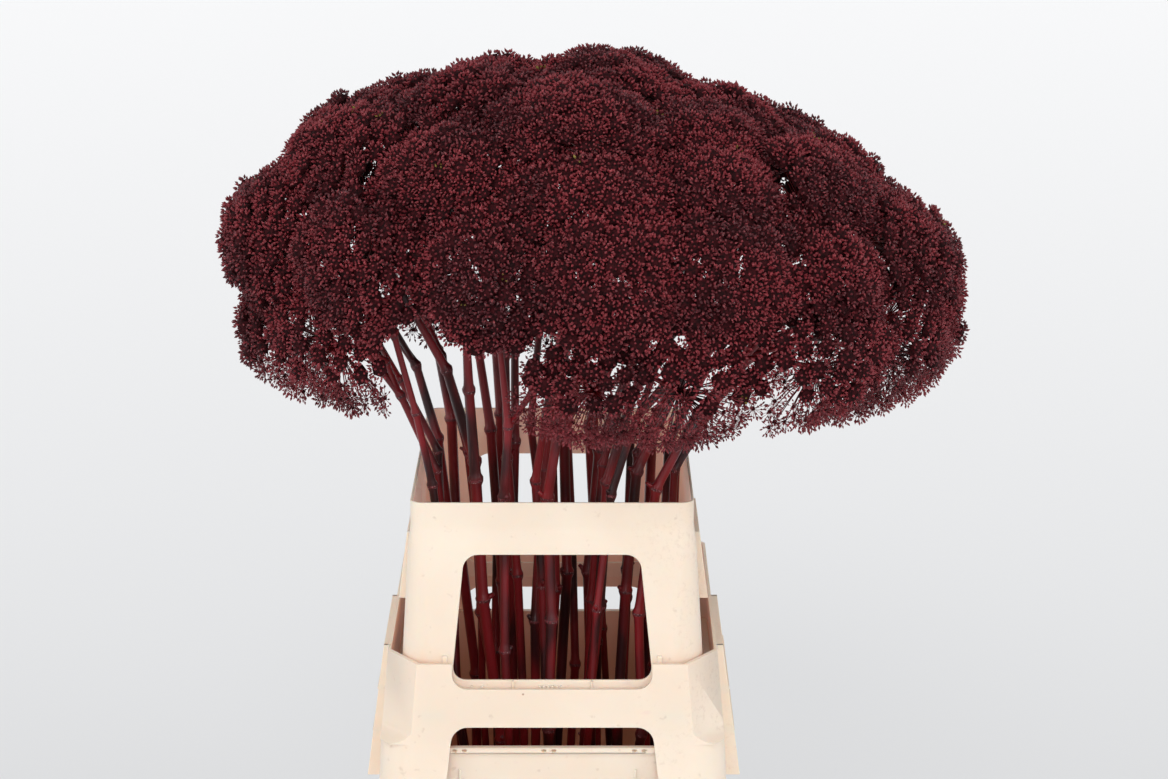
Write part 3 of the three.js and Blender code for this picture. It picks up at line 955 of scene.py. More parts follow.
@dataclass(frozen=True)
class UmbelletShape:
    """An umbellet: fruits on stalks that spread from one point."""

    fruits: int = 30
    reach: float = 8.2
    dome: float = 0.58
    cone: float = 88
    fruit_length: float = 4.0
    fruit_width: float = 2.2
    heart: float = 8.5
    stalked: bool = False
    young: bool = False
    young_share: float = 0.5
    lean_spread: float = 0.10
    turn_spread: float = 0.25
    tilt: Triple = (0.4, 0.4, 0.2)
    reaches: Pair = (0.86, 1.12)
    sizes: Pair = (0.85, 1.15)

    def build(self, bm: bmesh.types.BMesh, seed: int) -> None:
        """Fill a bmesh with the umbellet, its middle at the origin and its face to +Z.

        Args:
            bm: The bmesh that is filled.
            seed: The seed of the umbellet's draws.
        """
        draws = Draws(seed)
        fruit = new_mesh("fruit", self.fruit)
        stalk = new_mesh("stalk", self.stalk_cone)
        for index in range(self.fruits):
            share = (index + 0.5) / self.fruits
            lean = math.acos(1 - share * (1 - math.cos(math.radians(self.cone))))
            lean += draws.spread(self.lean_spread)
            turn = index * GOLDEN + draws.spread(self.turn_spread)
            out = math.sin(lean)
            way = Vector((out * math.cos(turn), out * math.sin(turn), math.cos(lean)))
            arm = Vector((way.x, way.y, way.z * self.dome)) * self.reach
            arm *= draws.between(*self.reaches)
            size = draws.between(*self.sizes)
            aim = (way + Vector([draws.spread(amount) for amount in self.tilt])).normalized()
            facing = turned_to(aim, draws.next() * math.pi)
            add_copy(bm, fruit, Matrix.Translation(arm) @ facing @ Matrix.Scale(size, 4))
            if self.stalked:
                add_copy(bm, stalk, turned_to(arm) @ Matrix.Diagonal((1, 1, arm.length, 1)))
        if self.heart:
            add_copy(bm, new_mesh("heart", self.heart_lump), Matrix.Identity(4))
        if self.young:
            for face in bm.faces:
                inside = face.calc_center_median().xy.length < self.reach * self.young_share
                if face.material_index == Paint.FRUIT.value and inside:
                    face.material_index = Paint.YOUNG.value

    def fruit(self, bm: bmesh.types.BMesh) -> None:
        """One fruit: a slim drop of eight faces that stands on the origin.

        Args:
            bm: The bmesh that is filled.
        """
        half = self.fruit_length / 2
        shape = Matrix.Translation((0, 0, half * 0.85)) @ Matrix.Diagonal(
            (self.fruit_width / 2, self.fruit_width / 2, half, 1)
        )
        bmesh.ops.create_uvsphere(bm, u_segments=4, v_segments=2, radius=1, matrix=shape)
        paint(bm, Paint.FRUIT)

    def stalk_cone(self, bm: bmesh.types.BMesh) -> None:
        """One stalk of three faces and length one, thinner towards the origin.

        Args:
            bm: The bmesh that is filled.
        """
        shape = Matrix.Translation((0, 0, 0.55))
        bmesh.ops.create_cone(bm, segments=3, radius1=0.1, radius2=0.22, depth=1.1, matrix=shape)
        bmesh.ops.remove_doubles(bm, verts=bm.verts, dist=1e-5)
        paint(bm, Paint.FRUIT)

    def heart_lump(self, bm: bmesh.types.BMesh) -> None:
        """The middle that the fruits stand out of, painted near-black as the shade between them.

        Args:
            bm: The bmesh that is filled.
        """
        shape = Matrix.Translation((0, 0, -0.6)) @ Matrix.Diagonal((1, 1, self.dome, 1))
        bmesh.ops.create_icosphere(bm, subdivisions=1, radius=self.heart, matrix=shape)
        paint(bm, Paint.HEART)


@dataclass(frozen=True)
class Station:
    """A ring of a stem: its place, the stem's way and radius there, and the paint below it."""

    at: Vector
    way: Vector
    radius: float
    paint: Paint


@dataclass(frozen=True)
class StemShape:
    """A ridged stem with swollen joints between slightly crooked stretches."""

    sides: int = 10
    furrow: float = 0.93
    stretch: float = 105
    kink: float = 6.5
    kinks: Pair = (0.5, 1)
    share_spread: float = 0.25
    on_floor: float = 10
    slim: float = 0.94
    swell: float = 1.32
    cuff: float = 5.5
    scar: float = 1.8
    scar_end: Pair = (0.4, 1.04)
    cuff_end: Pair = (0.7, 1.05)
    waist: Pair = (1.6, 0.97)

    def joints(self, rod: list[Knot], draws: Draws) -> list[Knot]:
        """Add joints between the knots of a rod, each a little out of line.

        Args:
            rod: The rod's knots from the bottom up.
            draws: The flower's draws.

        Returns:
            The knots with the new joints between them.
        """
        knots = [rod[0]]
        for start, end in zip(rod, rod[1:]):
            run = end.at - start.at
            count = max(0, round(run.length / self.stretch) - 1)
            way = run.normalized()
            across = way.orthogonal().normalized()
            for k in range(count):
                share = (k + 1 + draws.spread(self.share_spread)) / (count + 1)
                aside = Quaternion(way, draws.next() * math.tau) @ across
                at = start.at.lerp(end.at, share) + aside * draws.between(*self.kinks) * self.kink
                knots.append(Knot(at, start.radius + (end.radius - start.radius) * share))
            knots.append(end)
        return knots

    def stations(self, knots: list[Knot]) -> list[Station]:
        """Return the rings of a stem: plain ones between joints and swollen ones at them.

        Args:
            knots: The stem's knots from the bottom up.

        Returns:
            The rings from the bottom up.
        """
        first, last = knots[0], knots[-1]
        way = UP if first.at.z < self.on_floor else (knots[1].at - first.at).normalized()
        rings = [Station(first.at, way, first.radius, Paint.STEM)]
        for before, knot, after in zip(knots, knots[1:], knots[2:]):
            rings.extend(self.joint_rings(before, knot, after))
        behind = (last.at - knots[-2].at).normalized()
        return [*rings, Station(last.at, behind, last.radius, Paint.STEM)]

    def joint_rings(self, before: Knot, knot: Knot, after: Knot) -> list[Station]:
        """Return the rings of a swollen joint.

        Args:
            before: The knot below the joint.
            knot: The joint.
            after: The knot above it.

        Returns:
            The joint's rings from the bottom up.
        """
        ahead = (after.at - knot.at).normalized()
        behind = (knot.at - before.at).normalized()
        way = (ahead + behind).normalized()
        plain, thick = knot.radius * self.slim, knot.radius * self.swell * self.slim
        rings = [
            Station(knot.at - behind * self.cuff, behind, plain, Paint.STEM),
            Station(knot.at - behind * self.scar, way, thick, Paint.STEM),
        ]
        for length, (share, size), facing, radius, finish in (
            (self.scar, self.scar_end, way, thick, Paint.SCAR),
            (self.cuff, self.cuff_end, ahead, plain, Paint.STEM),
            (self.cuff, self.waist, ahead, plain, Paint.STEM),
        ):
            rings.append(Station(knot.at + ahead * length * share, facing, radius * size, finish))
        return rings

    def build(self, bm: bmesh.types.BMesh, rings: list[Station]) -> None:
        """Draw a stem out of its first ring through all the others.

        Args:
            bm: The bmesh that is filled.
            rings: The stem's rings from the bottom up.
        """
        made = bmesh.ops.create_circle(bm, cap_ends=True, segments=self.sides, radius=1)
        furrows = made["verts"][::2]
        bmesh.ops.scale(bm, vec=(self.furrow, self.furrow, 1), verts=furrows)
        across = rings[0].way.orthogonal().normalized()
        place, across = self.ring_place(rings[0], across)
        bmesh.ops.transform(bm, matrix=place, verts=bm.verts)
        edges = list(bm.edges)
        for ring in rings[1:]:
            there, across = self.ring_place(ring, across)
            drawn = bmesh.ops.extrude_edge_only(bm, edges=edges)["geom"]
            verts = [part for part in drawn if isinstance(part, bmesh.types.BMVert)]
            edges = [edge for edge in drawn if isinstance(edge, bmesh.types.BMEdge)]
            edges = [edge for edge in edges if all(vert in verts for vert in edge.verts)]
            for face in drawn:
                if isinstance(face, bmesh.types.BMFace):
                    face.material_index = ring.paint.value
                    face.smooth = True
            bmesh.ops.transform(bm, matrix=there @ place.inverted(), verts=verts)
            place = there
        bmesh.ops.contextual_create(bm, geom=edges)
        bmesh.ops.recalc_face_normals(bm, faces=bm.faces)

    def ring_place(self, ring: Station, across: Vector) -> tuple[Matrix, Vector]:
        """Return where a ring stands, and its first point's direction.

        Args:
            ring: The ring.
            across: The first point's direction on the ring before.

        Returns:
            The ring's place and the direction of its first point.
        """
        across = (across - ring.way * across.dot(ring.way)).normalized()
        third = ring.way.cross(across)
        turn = Matrix((across, third, ring.way)).transposed().to_4x4()
        return Matrix.Translation(ring.at) @ turn @ Matrix.Scale(ring.radius, 4), across


@dataclass(frozen=True)
class StubShape:
    """The short cut end of a leaf or twig beside a joint."""

    length: Pair = (4, 9)
    ends: Pair = (0.42, 0.2)
    girth: float = 1.5
    seat: float = 0.55
    lean: Pair = (35, 60)
    chance: float = 0.55
    flat: float = 0.9

    def build(self, bm: bmesh.types.BMesh) -> None:
        """Fill a bmesh with a stub of length one that stands on the origin.

        Args:
            bm: The bmesh that is filled.
        """
        shape = Matrix.Translation((0, 0, 0.5))
        foot, tip = self.ends
        bmesh.ops.create_cone(
            bm, cap_ends=True, segments=5, radius1=foot, radius2=tip, depth=1, matrix=shape
        )
        for face in bm.faces:
            end = face.normal.z > self.flat
            face.material_index = Paint.SCAR.value if end else Paint.STEM.value
            face.smooth = not end


@dataclass(frozen=True)
class RayShape:
    """The stalk that carries an umbellet, from a head's hub in a gentle bow."""

    radius: float = 0.72
    tip: float = 0.62
    bow: float = 1
    bend: float = 0.55
    straight: float = 0.05

    def build(self, bm: bmesh.types.BMesh) -> None:
        """Fill a bmesh with a bowed stalk of length one along +Z that bows towards +X.

        Args:
            bm: The bmesh that is filled.
        """
        shape = Matrix.Translation((0, 0, 0.5))
        bmesh.ops.create_cone(bm, segments=3, radius1=1, radius2=self.tip, depth=1, matrix=shape)
        geom = [*bm.verts, *bm.edges, *bm.faces]
        bmesh.ops.bisect_plane(bm, geom=geom, plane_co=(0, 0, self.bend), plane_no=UP)
        middle = [vert for vert in bm.verts if abs(vert.co.z - self.bend) < 0.1]
        bmesh.ops.scale(bm, vec=(self.radius, self.radius, 1), verts=bm.verts)
        bmesh.ops.translate(bm, vec=(self.bow, 0, 0), verts=middle)
        paint(bm, Paint.STEM)
        for face in bm.faces:
            face.smooth = True


@dataclass
class FlowerMaker:
    """Makes the piece of each flower: its stem, its rays and its umbellets."""

    bunch: Bunch
    materials: list[bpy.types.Material]
    dense: UmbelletShape = UmbelletShape()
    open: UmbelletShape = UmbelletShape(
        fruits=24,
        reach=7.0,
        dome=0.85,
        cone=105,
        fruit_length=3.7,
        fruit_width=1.8,
        heart=2.0,
        stalked=True,
    )
    young: UmbelletShape = UmbelletShape(young=True)
    stem: StemShape = StemShape()
    stub: StubShape = StubShape()
    ray: RayShape = RayShape()
    seed: int = 900
    disc: float = 1.27
    spacing: float = 13.4
    open_spacing: float = 15.4
    jitter: float = 1.8
    drop: float = 21
    rough: float = 3.4
    sink: float = 1.5
    clear: float = 6
    overlap: float = 3.5
    sizes: Pair = (0.9, 1.12)
    tilt: float = 0.25
    facing: float = 0.35
    open_below: float = -0.10
    open_fade: float = 0.25
    young_over: float = 0.992
    variants: int = 5
    shuffle: int = 997

    def __post_init__(self) -> None:
        """Lay out the flowers and make the templates that they repeat."""
        self.flowers = self.bunch.flowers()
        self.heads = [head for flower in self.flowers for head in flower.heads]
        self.umbellets = {
            shape: [
                new_mesh("umbellet", lambda bm, s=shape, n=seed: s.build(bm, n))
                for seed in range(self.variants)
            ]
            for shape in (self.dense, self.open, self.young)
        }
        self.ray_mesh = new_mesh("ray", self.ray.build)
        self.stub_mesh = new_mesh("stub", self.stub.build)

    def make(self, index: int) -> bpy.types.Object:
        """Make the piece of one flower and return it.

        Args:
            index: The flower's number, from 0.

        Returns:
            The piece.
        """
        name = self.flowers[index].name
        mesh = new_mesh(name, lambda bm: self.fill(bm, index))
        return add_piece(f"painted_{name}", mesh, name, self.materials)

    def fill(self, bm: bmesh.types.BMesh, index: int) -> None:
        """Fill a bmesh with one flower: its stems, stubs and heads.

        Args:
            bm: The bmesh that is filled.
            index: The flower's number, from 0.
        """
        flower = self.flowers[index]
        draws = Draws(self.seed + index)
        for rod in flower.rods:
            knots = self.stem.joints(rod, draws)
            rings = self.stem.stations(knots)
            stem = new_mesh("stem", lambda part: self.stem.build(part, rings))
            bm.from_mesh(stem)
            bpy.data.meshes.remove(stem)
            self.add_stubs(bm, knots, draws)
        for head in flower.heads:
            self.add_head(bm, head, flower, draws)

    def add_stubs(self, bm: bmesh.types.BMesh, knots: list[Knot], draws: Draws) -> None:
        """Add the cut ends of leaves at some joints.

        Args:
            bm: The bmesh that is added to.
            knots: The stem's knots from the bottom up.
            draws: The flower's draws.
        """
        for before, knot in zip(knots, knots[1:-1]):
            if draws.next() >= self.stub.chance:
                continue
            way = (knot.at - before.at).normalized()
            aside = Quaternion(way, draws.next() * math.tau) @ way.orthogonal().normalized()
            lean = math.radians(draws.between(*self.stub.lean))
            aim = way * math.cos(lean) + aside * math.sin(lean)
            size = knot.radius * self.stub.girth
            shape = Matrix.Diagonal((size, size, draws.between(*self.stub.length), 1))
            seat = Matrix.Translation(knot.at + aside * knot.radius * self.stub.seat)
            add_copy(bm, self.stub_mesh, seat @ turned_to(aim, draws.next() * math.tau) @ shape)

    def add_head(self, bm: bmesh.types.BMesh, head: Head, flower: Flower, draws: Draws) -> None:
        """Add the rays and umbellets of one head.

        Args:
            bm: The bmesh that is added to.
            head: The head.
            flower: The flower that carries it.
            draws: The flower's draws.
        """
        crown = self.bunch.crown
        spacing = self.open_spacing if head.hanging else self.spacing
        radius = head.radius * self.disc
        count = round(math.pi * radius**2 / spacing**2)
        turn = turned_to(head.axis)
        start = draws.next() * math.tau
        for index in range(count):
            out = radius * math.sqrt((index + 0.5) / count)
            angle = start + index * GOLDEN
            flat = Vector((out * math.cos(angle), out * math.sin(angle), 0))
            jitter = Vector((draws.spread(self.jitter), draws.spread(self.jitter), 0))
            way = crown.way(turn @ (flat + jitter) + head.top)
            drop = self.drop * min(1, out / head.radius) ** 2
            middle = crown.point(way, head.lift - drop + draws.spread(self.rough))
            size, spin, pick = draws.between(*self.sizes), draws.next() * math.tau, draws.next()
            tilt = Vector([draws.spread(self.tilt) for _ in range(3)])
            if not self.owns(head, middle) or self.blocked(flower, middle):
                continue
            outward = (middle - Vector(crown.centre)).normalized()
            aim = (outward + head.axis * self.facing + tilt).normalized()
            seat = middle - outward * self.sink
            self.add_ray(bm, head.hub, seat, outward)
            made = self.umbellets[self.shape_for(way, pick)]
            place = Matrix.Translation(seat) @ turned_to(aim, spin) @ Matrix.Scale(size, 4)
            add_copy(bm, made[int(pick * self.shuffle) % self.variants], place)

    def shape_for(self, way: Vector, pick: float) -> UmbelletShape:
        """Return the kind of umbellet for a direction on the crown.

        Args:
            way: The direction from the crown's middle.
            pick: The umbellet's draw.

        Returns:
            The umbellet's shape.
        """
        openness = (self.open_below - way.z) / self.open_fade
        if pick < openness:
            return self.open
        return self.young if pick > self.young_over else self.dense

    def owns(self, head: Head, middle: Vector) -> bool:
        """Tell whether a place is nearer to a head than to any other."""
        here = (head.top - middle).length - self.overlap
        return all(other is head or (other.top - middle).length >= here for other in self.heads)

    def blocked(self, flower: Flower, middle: Vector) -> bool:
        """Tell whether another flower's stem passes through a place.

        Args:
            flower: The flower whose own stems don't count.
            middle: The place.

        Returns:
            Whether one passes too close for an umbellet.
        """
        for other in self.flowers:
            if other is flower:
                continue
            for rod in other.rods:
                for a, b in zip(rod, rod[1:]):
                    run = b.at - a.at
                    share = min(1, max(0, (middle - a.at).dot(run) / run.length_squared))
                    if (a.at + run * share - middle).length < a.radius + self.clear:
                        return True
        return False

    def add_ray(self, bm: bmesh.types.BMesh, hub: Vector, seat: Vector, outward: Vector) -> None:
        """Add the stalk from a hub to an umbellet, bowed away from its outward side.

        Args:
            bm: The bmesh that is added to.
            hub: Where the stalk starts.
            seat: Where it ends.
            outward: The crown's outward direction there.
        """
        run = seat - hub
        way = run.normalized()
        bow = way * outward.dot(way) - outward
        if bow.length < self.ray.straight:
            bow = way.orthogonal()
        bow = bow.normalized()
        third = way.cross(bow)
        turn = Matrix((bow, third, way)).transposed().to_4x4()
        shape = Matrix.Diagonal((1, 1, run.length, 1))
        add_copy(bm, self.ray_mesh, Matrix.Translation(hub) @ turn @ shape)


# ---------------------------------------------------------------- mouldings


def cut_corners(
    bm: bmesh.types.BMesh, corners: list[bmesh.types.BMVert], offset: float, segments: int
) -> bmesh.types.BMFace:
    """Cut or round the corners of a flat sheet.

    Args:
        bm: The bmesh that the sheet is in.
        corners: The sheet's corners.
        offset: How much of each side is cut off.
        segments: 1 for a straight cut, and more for a round one.

    Returns:
        The sheet's face.
    """
    cut = bmesh.ops.bevel(
        bm,
        geom=corners,
        offset=offset,
        offset_type="OFFSET",
        affect="VERTICES",
        segments=segments,
        profile=0.5,
        material=-1,
    )
    return cut["verts"][0].link_faces[0]


@dataclass(frozen=True)
class Level:
    """One outline of a moulding, seen from above: its half sizes, height and corner cuts."""

    half: Pair
    z: float
    cut: Pair
    segments: int = 8

    def inset(self, by: float, z: float | None = None) -> "Level":
        """Return the outline drawn in by a wall's thickness, at its own or another height.

        Args:
            by: The thickness.
            z: The new outline's height, where it isn't the same.

        Returns:
            The inner outline.
        """
        cut = self.cut
        if self.segments > 1:
            cut = (max(cut[0] - by, 1), max(cut[1] - by, 1))
        half = (self.half[0] - by, self.half[1] - by)
        return Level(half, self.z if z is None else z, cut, self.segments)

    def draw(self, bm: bmesh.types.BMesh) -> list[bmesh.types.BMEdge]:
        """Add the outline to a bmesh and return its edges.

        Args:
            bm: The bmesh that is added to.

        Returns:
            The outline's edges.
        """
        stretch = self.cut[1] / self.cut[0]
        frame_shape = Matrix.Diagonal((self.half[0], self.half[1] / stretch, 1, 1))
        made = bmesh.ops.create_grid(bm, x_segments=1, y_segments=1, size=1, matrix=frame_shape)
        face = cut_corners(bm, made["verts"], self.cut[0], self.segments)
        verts, edges = list(face.verts), list(face.edges)
        bmesh.ops.scale(bm, vec=(1, stretch, 1), verts=verts)
        bmesh.ops.translate(bm, vec=(0, 0, self.z), verts=verts)
        bmesh.ops.delete(bm, geom=[face], context="FACES_ONLY")
        return edges


def rounded(half: Pair, z: float, corner: float) -> Level:
    """Return an outline with rounded corners."""
    return Level(half, z, (corner, corner))


def mid(a: Pair, b: Pair, share: float) -> Pair:
    """Return the pair between two others."""
    return (a[0] + (b[0] - a[0]) * share, a[1] + (b[1] - a[1]) * share)


def draw_wall(bm: bmesh.types.BMesh, outer: list[Level], inner: list[Level], floor: bool) -> None:
    """Bridge outlines into a closed wall.

    Args:
        bm: The bmesh that is filled.
        outer: The outside's outlines, from the bottom up.
        inner: The inside's outlines, from the top down.
        floor: Whether the foot is closed by a floor instead of a bottom edge.
    """
    loops = [level.draw(bm) for level in [*outer, *inner]]
    for index in range(len(loops) - 1):
        made = bmesh.ops.bridge_loops(bm, edges=loops[index] + loops[index + 1])
        side = Plastic.INSIDE if index >= len(outer) else Plastic.OUTSIDE
        for face in made["faces"]:
            face.material_index = side.value
    if floor:
        for loop, side in ((loops[0], Plastic.OUTSIDE), (loops[-1], Plastic.INSIDE)):
            made = bmesh.ops.contextual_create(bm, geom=loop)
            made["faces"][0].material_index = side.value
    else:
        bmesh.ops.bridge_loops(bm, edges=loops[-1] + loops[0])
    bmesh.ops.recalc_face_normals(bm, faces=bm.faces)


def add_block(bm: bmesh.types.BMesh, x: Pair, y: Pair, z: Pair) -> list[bmesh.types.BMVert]:
    """Add a block between two values on each axis and return its corners.

    Args:
        bm: The bmesh that is added to.
        x: Its left and right.
        y: Its front and back.
        z: Its bottom and top.

    Returns:
        The block's eight corners.
    """
    size = Vector((x[1] - x[0], y[1] - y[0], z[1] - z[0]))
    middle = Vector(((x[0] + x[1]) / 2, (y[0] + y[1]) / 2, (z[0] + z[1]) / 2))
    shape = Matrix.Translation(middle) @ Matrix.Diagonal((*size, 1))
    return bmesh.ops.create_cube(bm, size=1, matrix=shape)["verts"]


def add_rib(
    bm: bmesh.types.BMesh, x: float, half: float, y: Pair, z: Pair, side: int
) -> None:
    """Add a block that stands on the front or the back wall.

    Args:
        bm: The bmesh that it joins.
        x: Its middle from left to right.
        half: Half of its width.
        y: Where it starts and ends, from the moulding's middle outwards.
        z: Its bottom and top.
        side: 1 for the back wall and -1 for the front one.
    """
    low, high = sorted((side * y[0], side * y[1]))
    add_block(bm, (x - half, x + half), (low, high), z)


@dataclass(frozen=True)
class Opening:
    """An opening through the front and the back wall, narrower at its top."""

    top: float
    bottom: float
    top_half: float
    bottom_half: float
    corner: float
    reach: float = 260

    def cut(self, bm: bmesh.types.BMesh) -> None:
        """Add the block that cuts the opening.

        Args:
            bm: The bmesh that is added to.
        """
        upright = Matrix.Rotation(math.pi / 2, 4, "X")
        low = Matrix.Translation((0, self.reach, (self.top + self.bottom) / 2))
        half = (self.top - self.bottom) / 2
        shape = low @ upright @ Matrix.Diagonal((self.bottom_half, half, 1, 1))
        made = bmesh.ops.create_grid(bm, x_segments=1, y_segments=1, size=1, matrix=shape)
        high = [vert for vert in made["verts"] if vert.co.z > (self.top + self.bottom) / 2]
        bmesh.ops.scale(bm, vec=(self.top_half / self.bottom_half, 1, 1), verts=high)
        face = cut_corners(bm, made["verts"], self.corner, 6)
        drawn = bmesh.ops.extrude_face_region(bm, geom=[face])["geom"]
        verts = [part for part in drawn if isinstance(part, bmesh.types.BMVert)]
        bmesh.ops.translate(bm, vec=(0, -2 * self.reach, 0), verts=verts)


@dataclass(frozen=True)
class SideFrame:
    """A thin frame that stands out of each side wall: two uprights, rails and ribs."""

    half: float
    bottom: float
    top: float
    reach: Pair
    ribs: tuple[float, ...]
    thick: float = 2.5
    root: float = 1.2

    def add(self, bm: bmesh.types.BMesh, wall_at: Callable[[float], float], side: int) -> None:
        """Add the frame to a wall.

        Args:
            bm: The bmesh that it joins.
            wall_at: The wall's half width at a height.
            side: 1 for the right side and -1 for the left one.
        """
        rails = [self.bottom + (self.top - self.bottom) * rib for rib in self.ribs]
        plates = [
            ((-self.half, -self.half + self.thick), (self.bottom, self.top)),
            ((self.half - self.thick, self.half), (self.bottom, self.top)),
            ((-self.half + 1, self.half - 1), (self.top - self.thick, self.top)),
            *[((-self.half + 1, self.half - 1), (z, z + self.thick)) for z in rails],
        ]
        for y, z in plates:
            for vert in add_block(bm, (0, 1), y, z):
                share = (vert.co.z - self.bottom) / (self.top - self.bottom)
                out = self.reach[0] + (self.reach[1] - self.reach[0]) * share
                wall = wall_at(vert.co.z)
                vert.co.x = side * (wall + out if vert.co.x > 0.5 else wall - self.root)
                vert.co.y *= side


@dataclass
class Moulding:
    """A moulded part: a closed wall, what is cut out of it and what stands on it."""

    node: str
    slot: str
    materials: list[bpy.types.Material]
    edge: float = 0.7
    sharp: float = 38

    def wall(self, bm: bmesh.types.BMesh) -> None:
        """Fill a bmesh with the closed wall."""
        raise NotImplementedError

    def cuts(self, bm: bmesh.types.BMesh) -> None:
        """Fill a bmesh with what is cut out of the wall."""
        raise NotImplementedError

    def fittings(self, bm: bmesh.types.BMesh) -> None:
        """Add what stands on the wall."""

    def place(self) -> Matrix:
        """Return where the part stands."""
        return Matrix.Identity(4)

    def make(self) -> bpy.types.Object:
        """Make the piece: cut the wall, add its fittings and soften its edges.

        Returns:
            The piece.
        """
        mesh = new_mesh(self.node, self.fill)
        mesh.transform(self.place())
        piece = add_piece(f"moulded_{self.node}", mesh, self.node, self.materials)
        soften = piece.modifiers.new("edges", "BEVEL")
        soften.width = self.edge * MILLIMETRE
        soften.segments = 2
        soften.limit_method = "ANGLE"
        soften.angle_limit = math.radians(self.sharp)
        weigh = piece.modifiers.new("normals", "WEIGHTED_NORMAL")
        weigh.keep_sharp = True
        return piece

    def fill(self, bm: bmesh.types.BMesh) -> None:
        """Fill a bmesh with the cut wall and its fittings.

        Args:
            bm: The bmesh that is filled.
        """
        bm.from_mesh(self.cut_wall())
        self.fittings(bm)
        bmesh.ops.recalc_face_normals(bm, faces=bm.faces)
        for face in bm.faces:
            face.smooth = True

    def cut_wall(self) -> bpy.types.Mesh:
        """Return the wall's mesh with its openings cut out.

        Returns:
            The mesh in millimetres.
        """
        wall, cutter = (
            bpy.data.objects.new(name, new_mesh(name, build))
            for name, build in (("wall", self.wall), ("cutter", self.closed_cuts))
        )
        for part in (wall, cutter):
            bpy.context.scene.collection.objects.link(part)
        cut = wall.modifiers.new("cut", "BOOLEAN")
        cut.operation = "DIFFERENCE"
        cut.solver = "EXACT"
        cut.object = cutter
        shown = wall.evaluated_get(bpy.context.evaluated_depsgraph_get())
        mesh = bpy.data.meshes.new_from_object(shown)
        for part in (wall, cutter):
            bpy.data.objects.remove(part)
        return mesh

    def closed_cuts(self, bm: bmesh.types.BMesh) -> None:
        """Fill a bmesh with the cutting blocks, their faces outwards."""
        self.cuts(bm)
        bmesh.ops.recalc_face_normals(bm, faces=bm.faces)


@dataclass
class Bucket(Moulding):
    """The bucket that holds the feet of the stems."""

    height: float = 242
    foot: Pair = (117, 146)
    rim: Pair = (132, 160)
    corner: float = 24
    thick: float = 2.5
    floor: float = 3
    lip: float = 3.5
    lip_depth: float = 5
    hole_pairs: tuple[float, ...] = (-75, -3, 70)
    hole_aside: float = 4
    hole_z: float = 239.4
    hole_size: Triple = (2.0, 1.3, 8)
    ribs: tuple[float, ...] = (-75, 67)
    rib_half: float = 1
    rib_z: Pair = (40, 222)
    rib_y: Pair = (-1, 1.6)

    def wall(self, bm: bmesh.types.BMesh) -> None:
        """Fill a bmesh with the bucket's wall, rolled rim and floor.

        Args:
            bm: The bmesh that is filled.
        """
        under = self.height - self.lip_depth
        body = rounded(self.rim, under, self.corner)
        wide = (self.rim[0] + self.lip, self.rim[1] + self.lip)
        lip = rounded(wide, under, self.corner + self.lip)
        ring = mid(self.foot, self.rim, 0.03)
        outer = [
            rounded((self.foot[0] - 3, self.foot[1] - 3), 0, self.corner - 3),
            rounded(self.foot, 4, self.corner),
            rounded(ring, 8, self.corner),
            body,
            lip,
            Level(lip.half, self.height, lip.cut),
        ]
        inner = [
            rounded(self.rim, self.height, self.corner).inset(self.thick),
            rounded(self.foot, self.floor + 6, self.corner).inset(self.thick),
            rounded(self.foot, self.floor, self.corner).inset(self.thick + 5),
        ]
        draw_wall(bm, outer, inner, floor=True)

    def cuts(self, bm: bmesh.types.BMesh) -> None:
        """Cut the pairs of small blind holes in the rim's lip, front and back.

        Args:
            bm: The bmesh that is filled.
        """
        upright = Matrix.Rotation(math.pi / 2, 4, "X")
        for x in self.hole_pairs:
            for aside in (-self.hole_aside, self.hole_aside):
                for side in (-1, 1):
                    front = side * (self.rim[1] + self.lip)
                    shape = Matrix.Translation((x + aside, front, self.hole_z))
                    shape = shape @ upright @ Matrix.Diagonal((*self.hole_size, 1))
                    bmesh.ops.create_cone(
                        bm, cap_ends=True, segments=14, radius1=1, radius2=1, depth=1, matrix=shape
                    )

    def fittings(self, bm: bmesh.types.BMesh) -> None:
        """Add the upright ribs on the front and back walls.

        Args:
            bm: The bmesh that is added to.
        """
        for x in self.ribs:
            for side in (-1, 1):
                across = (x - self.rib_half, x + self.rib_half)
                for vert in add_block(bm, across, (0, 1), self.rib_z):
                    wall = mid(self.foot, self.rim, vert.co.z / self.height)[1]
                    vert.co.y = side * (wall + self.rib_y[1 if vert.co.y > 0.5 else 0])


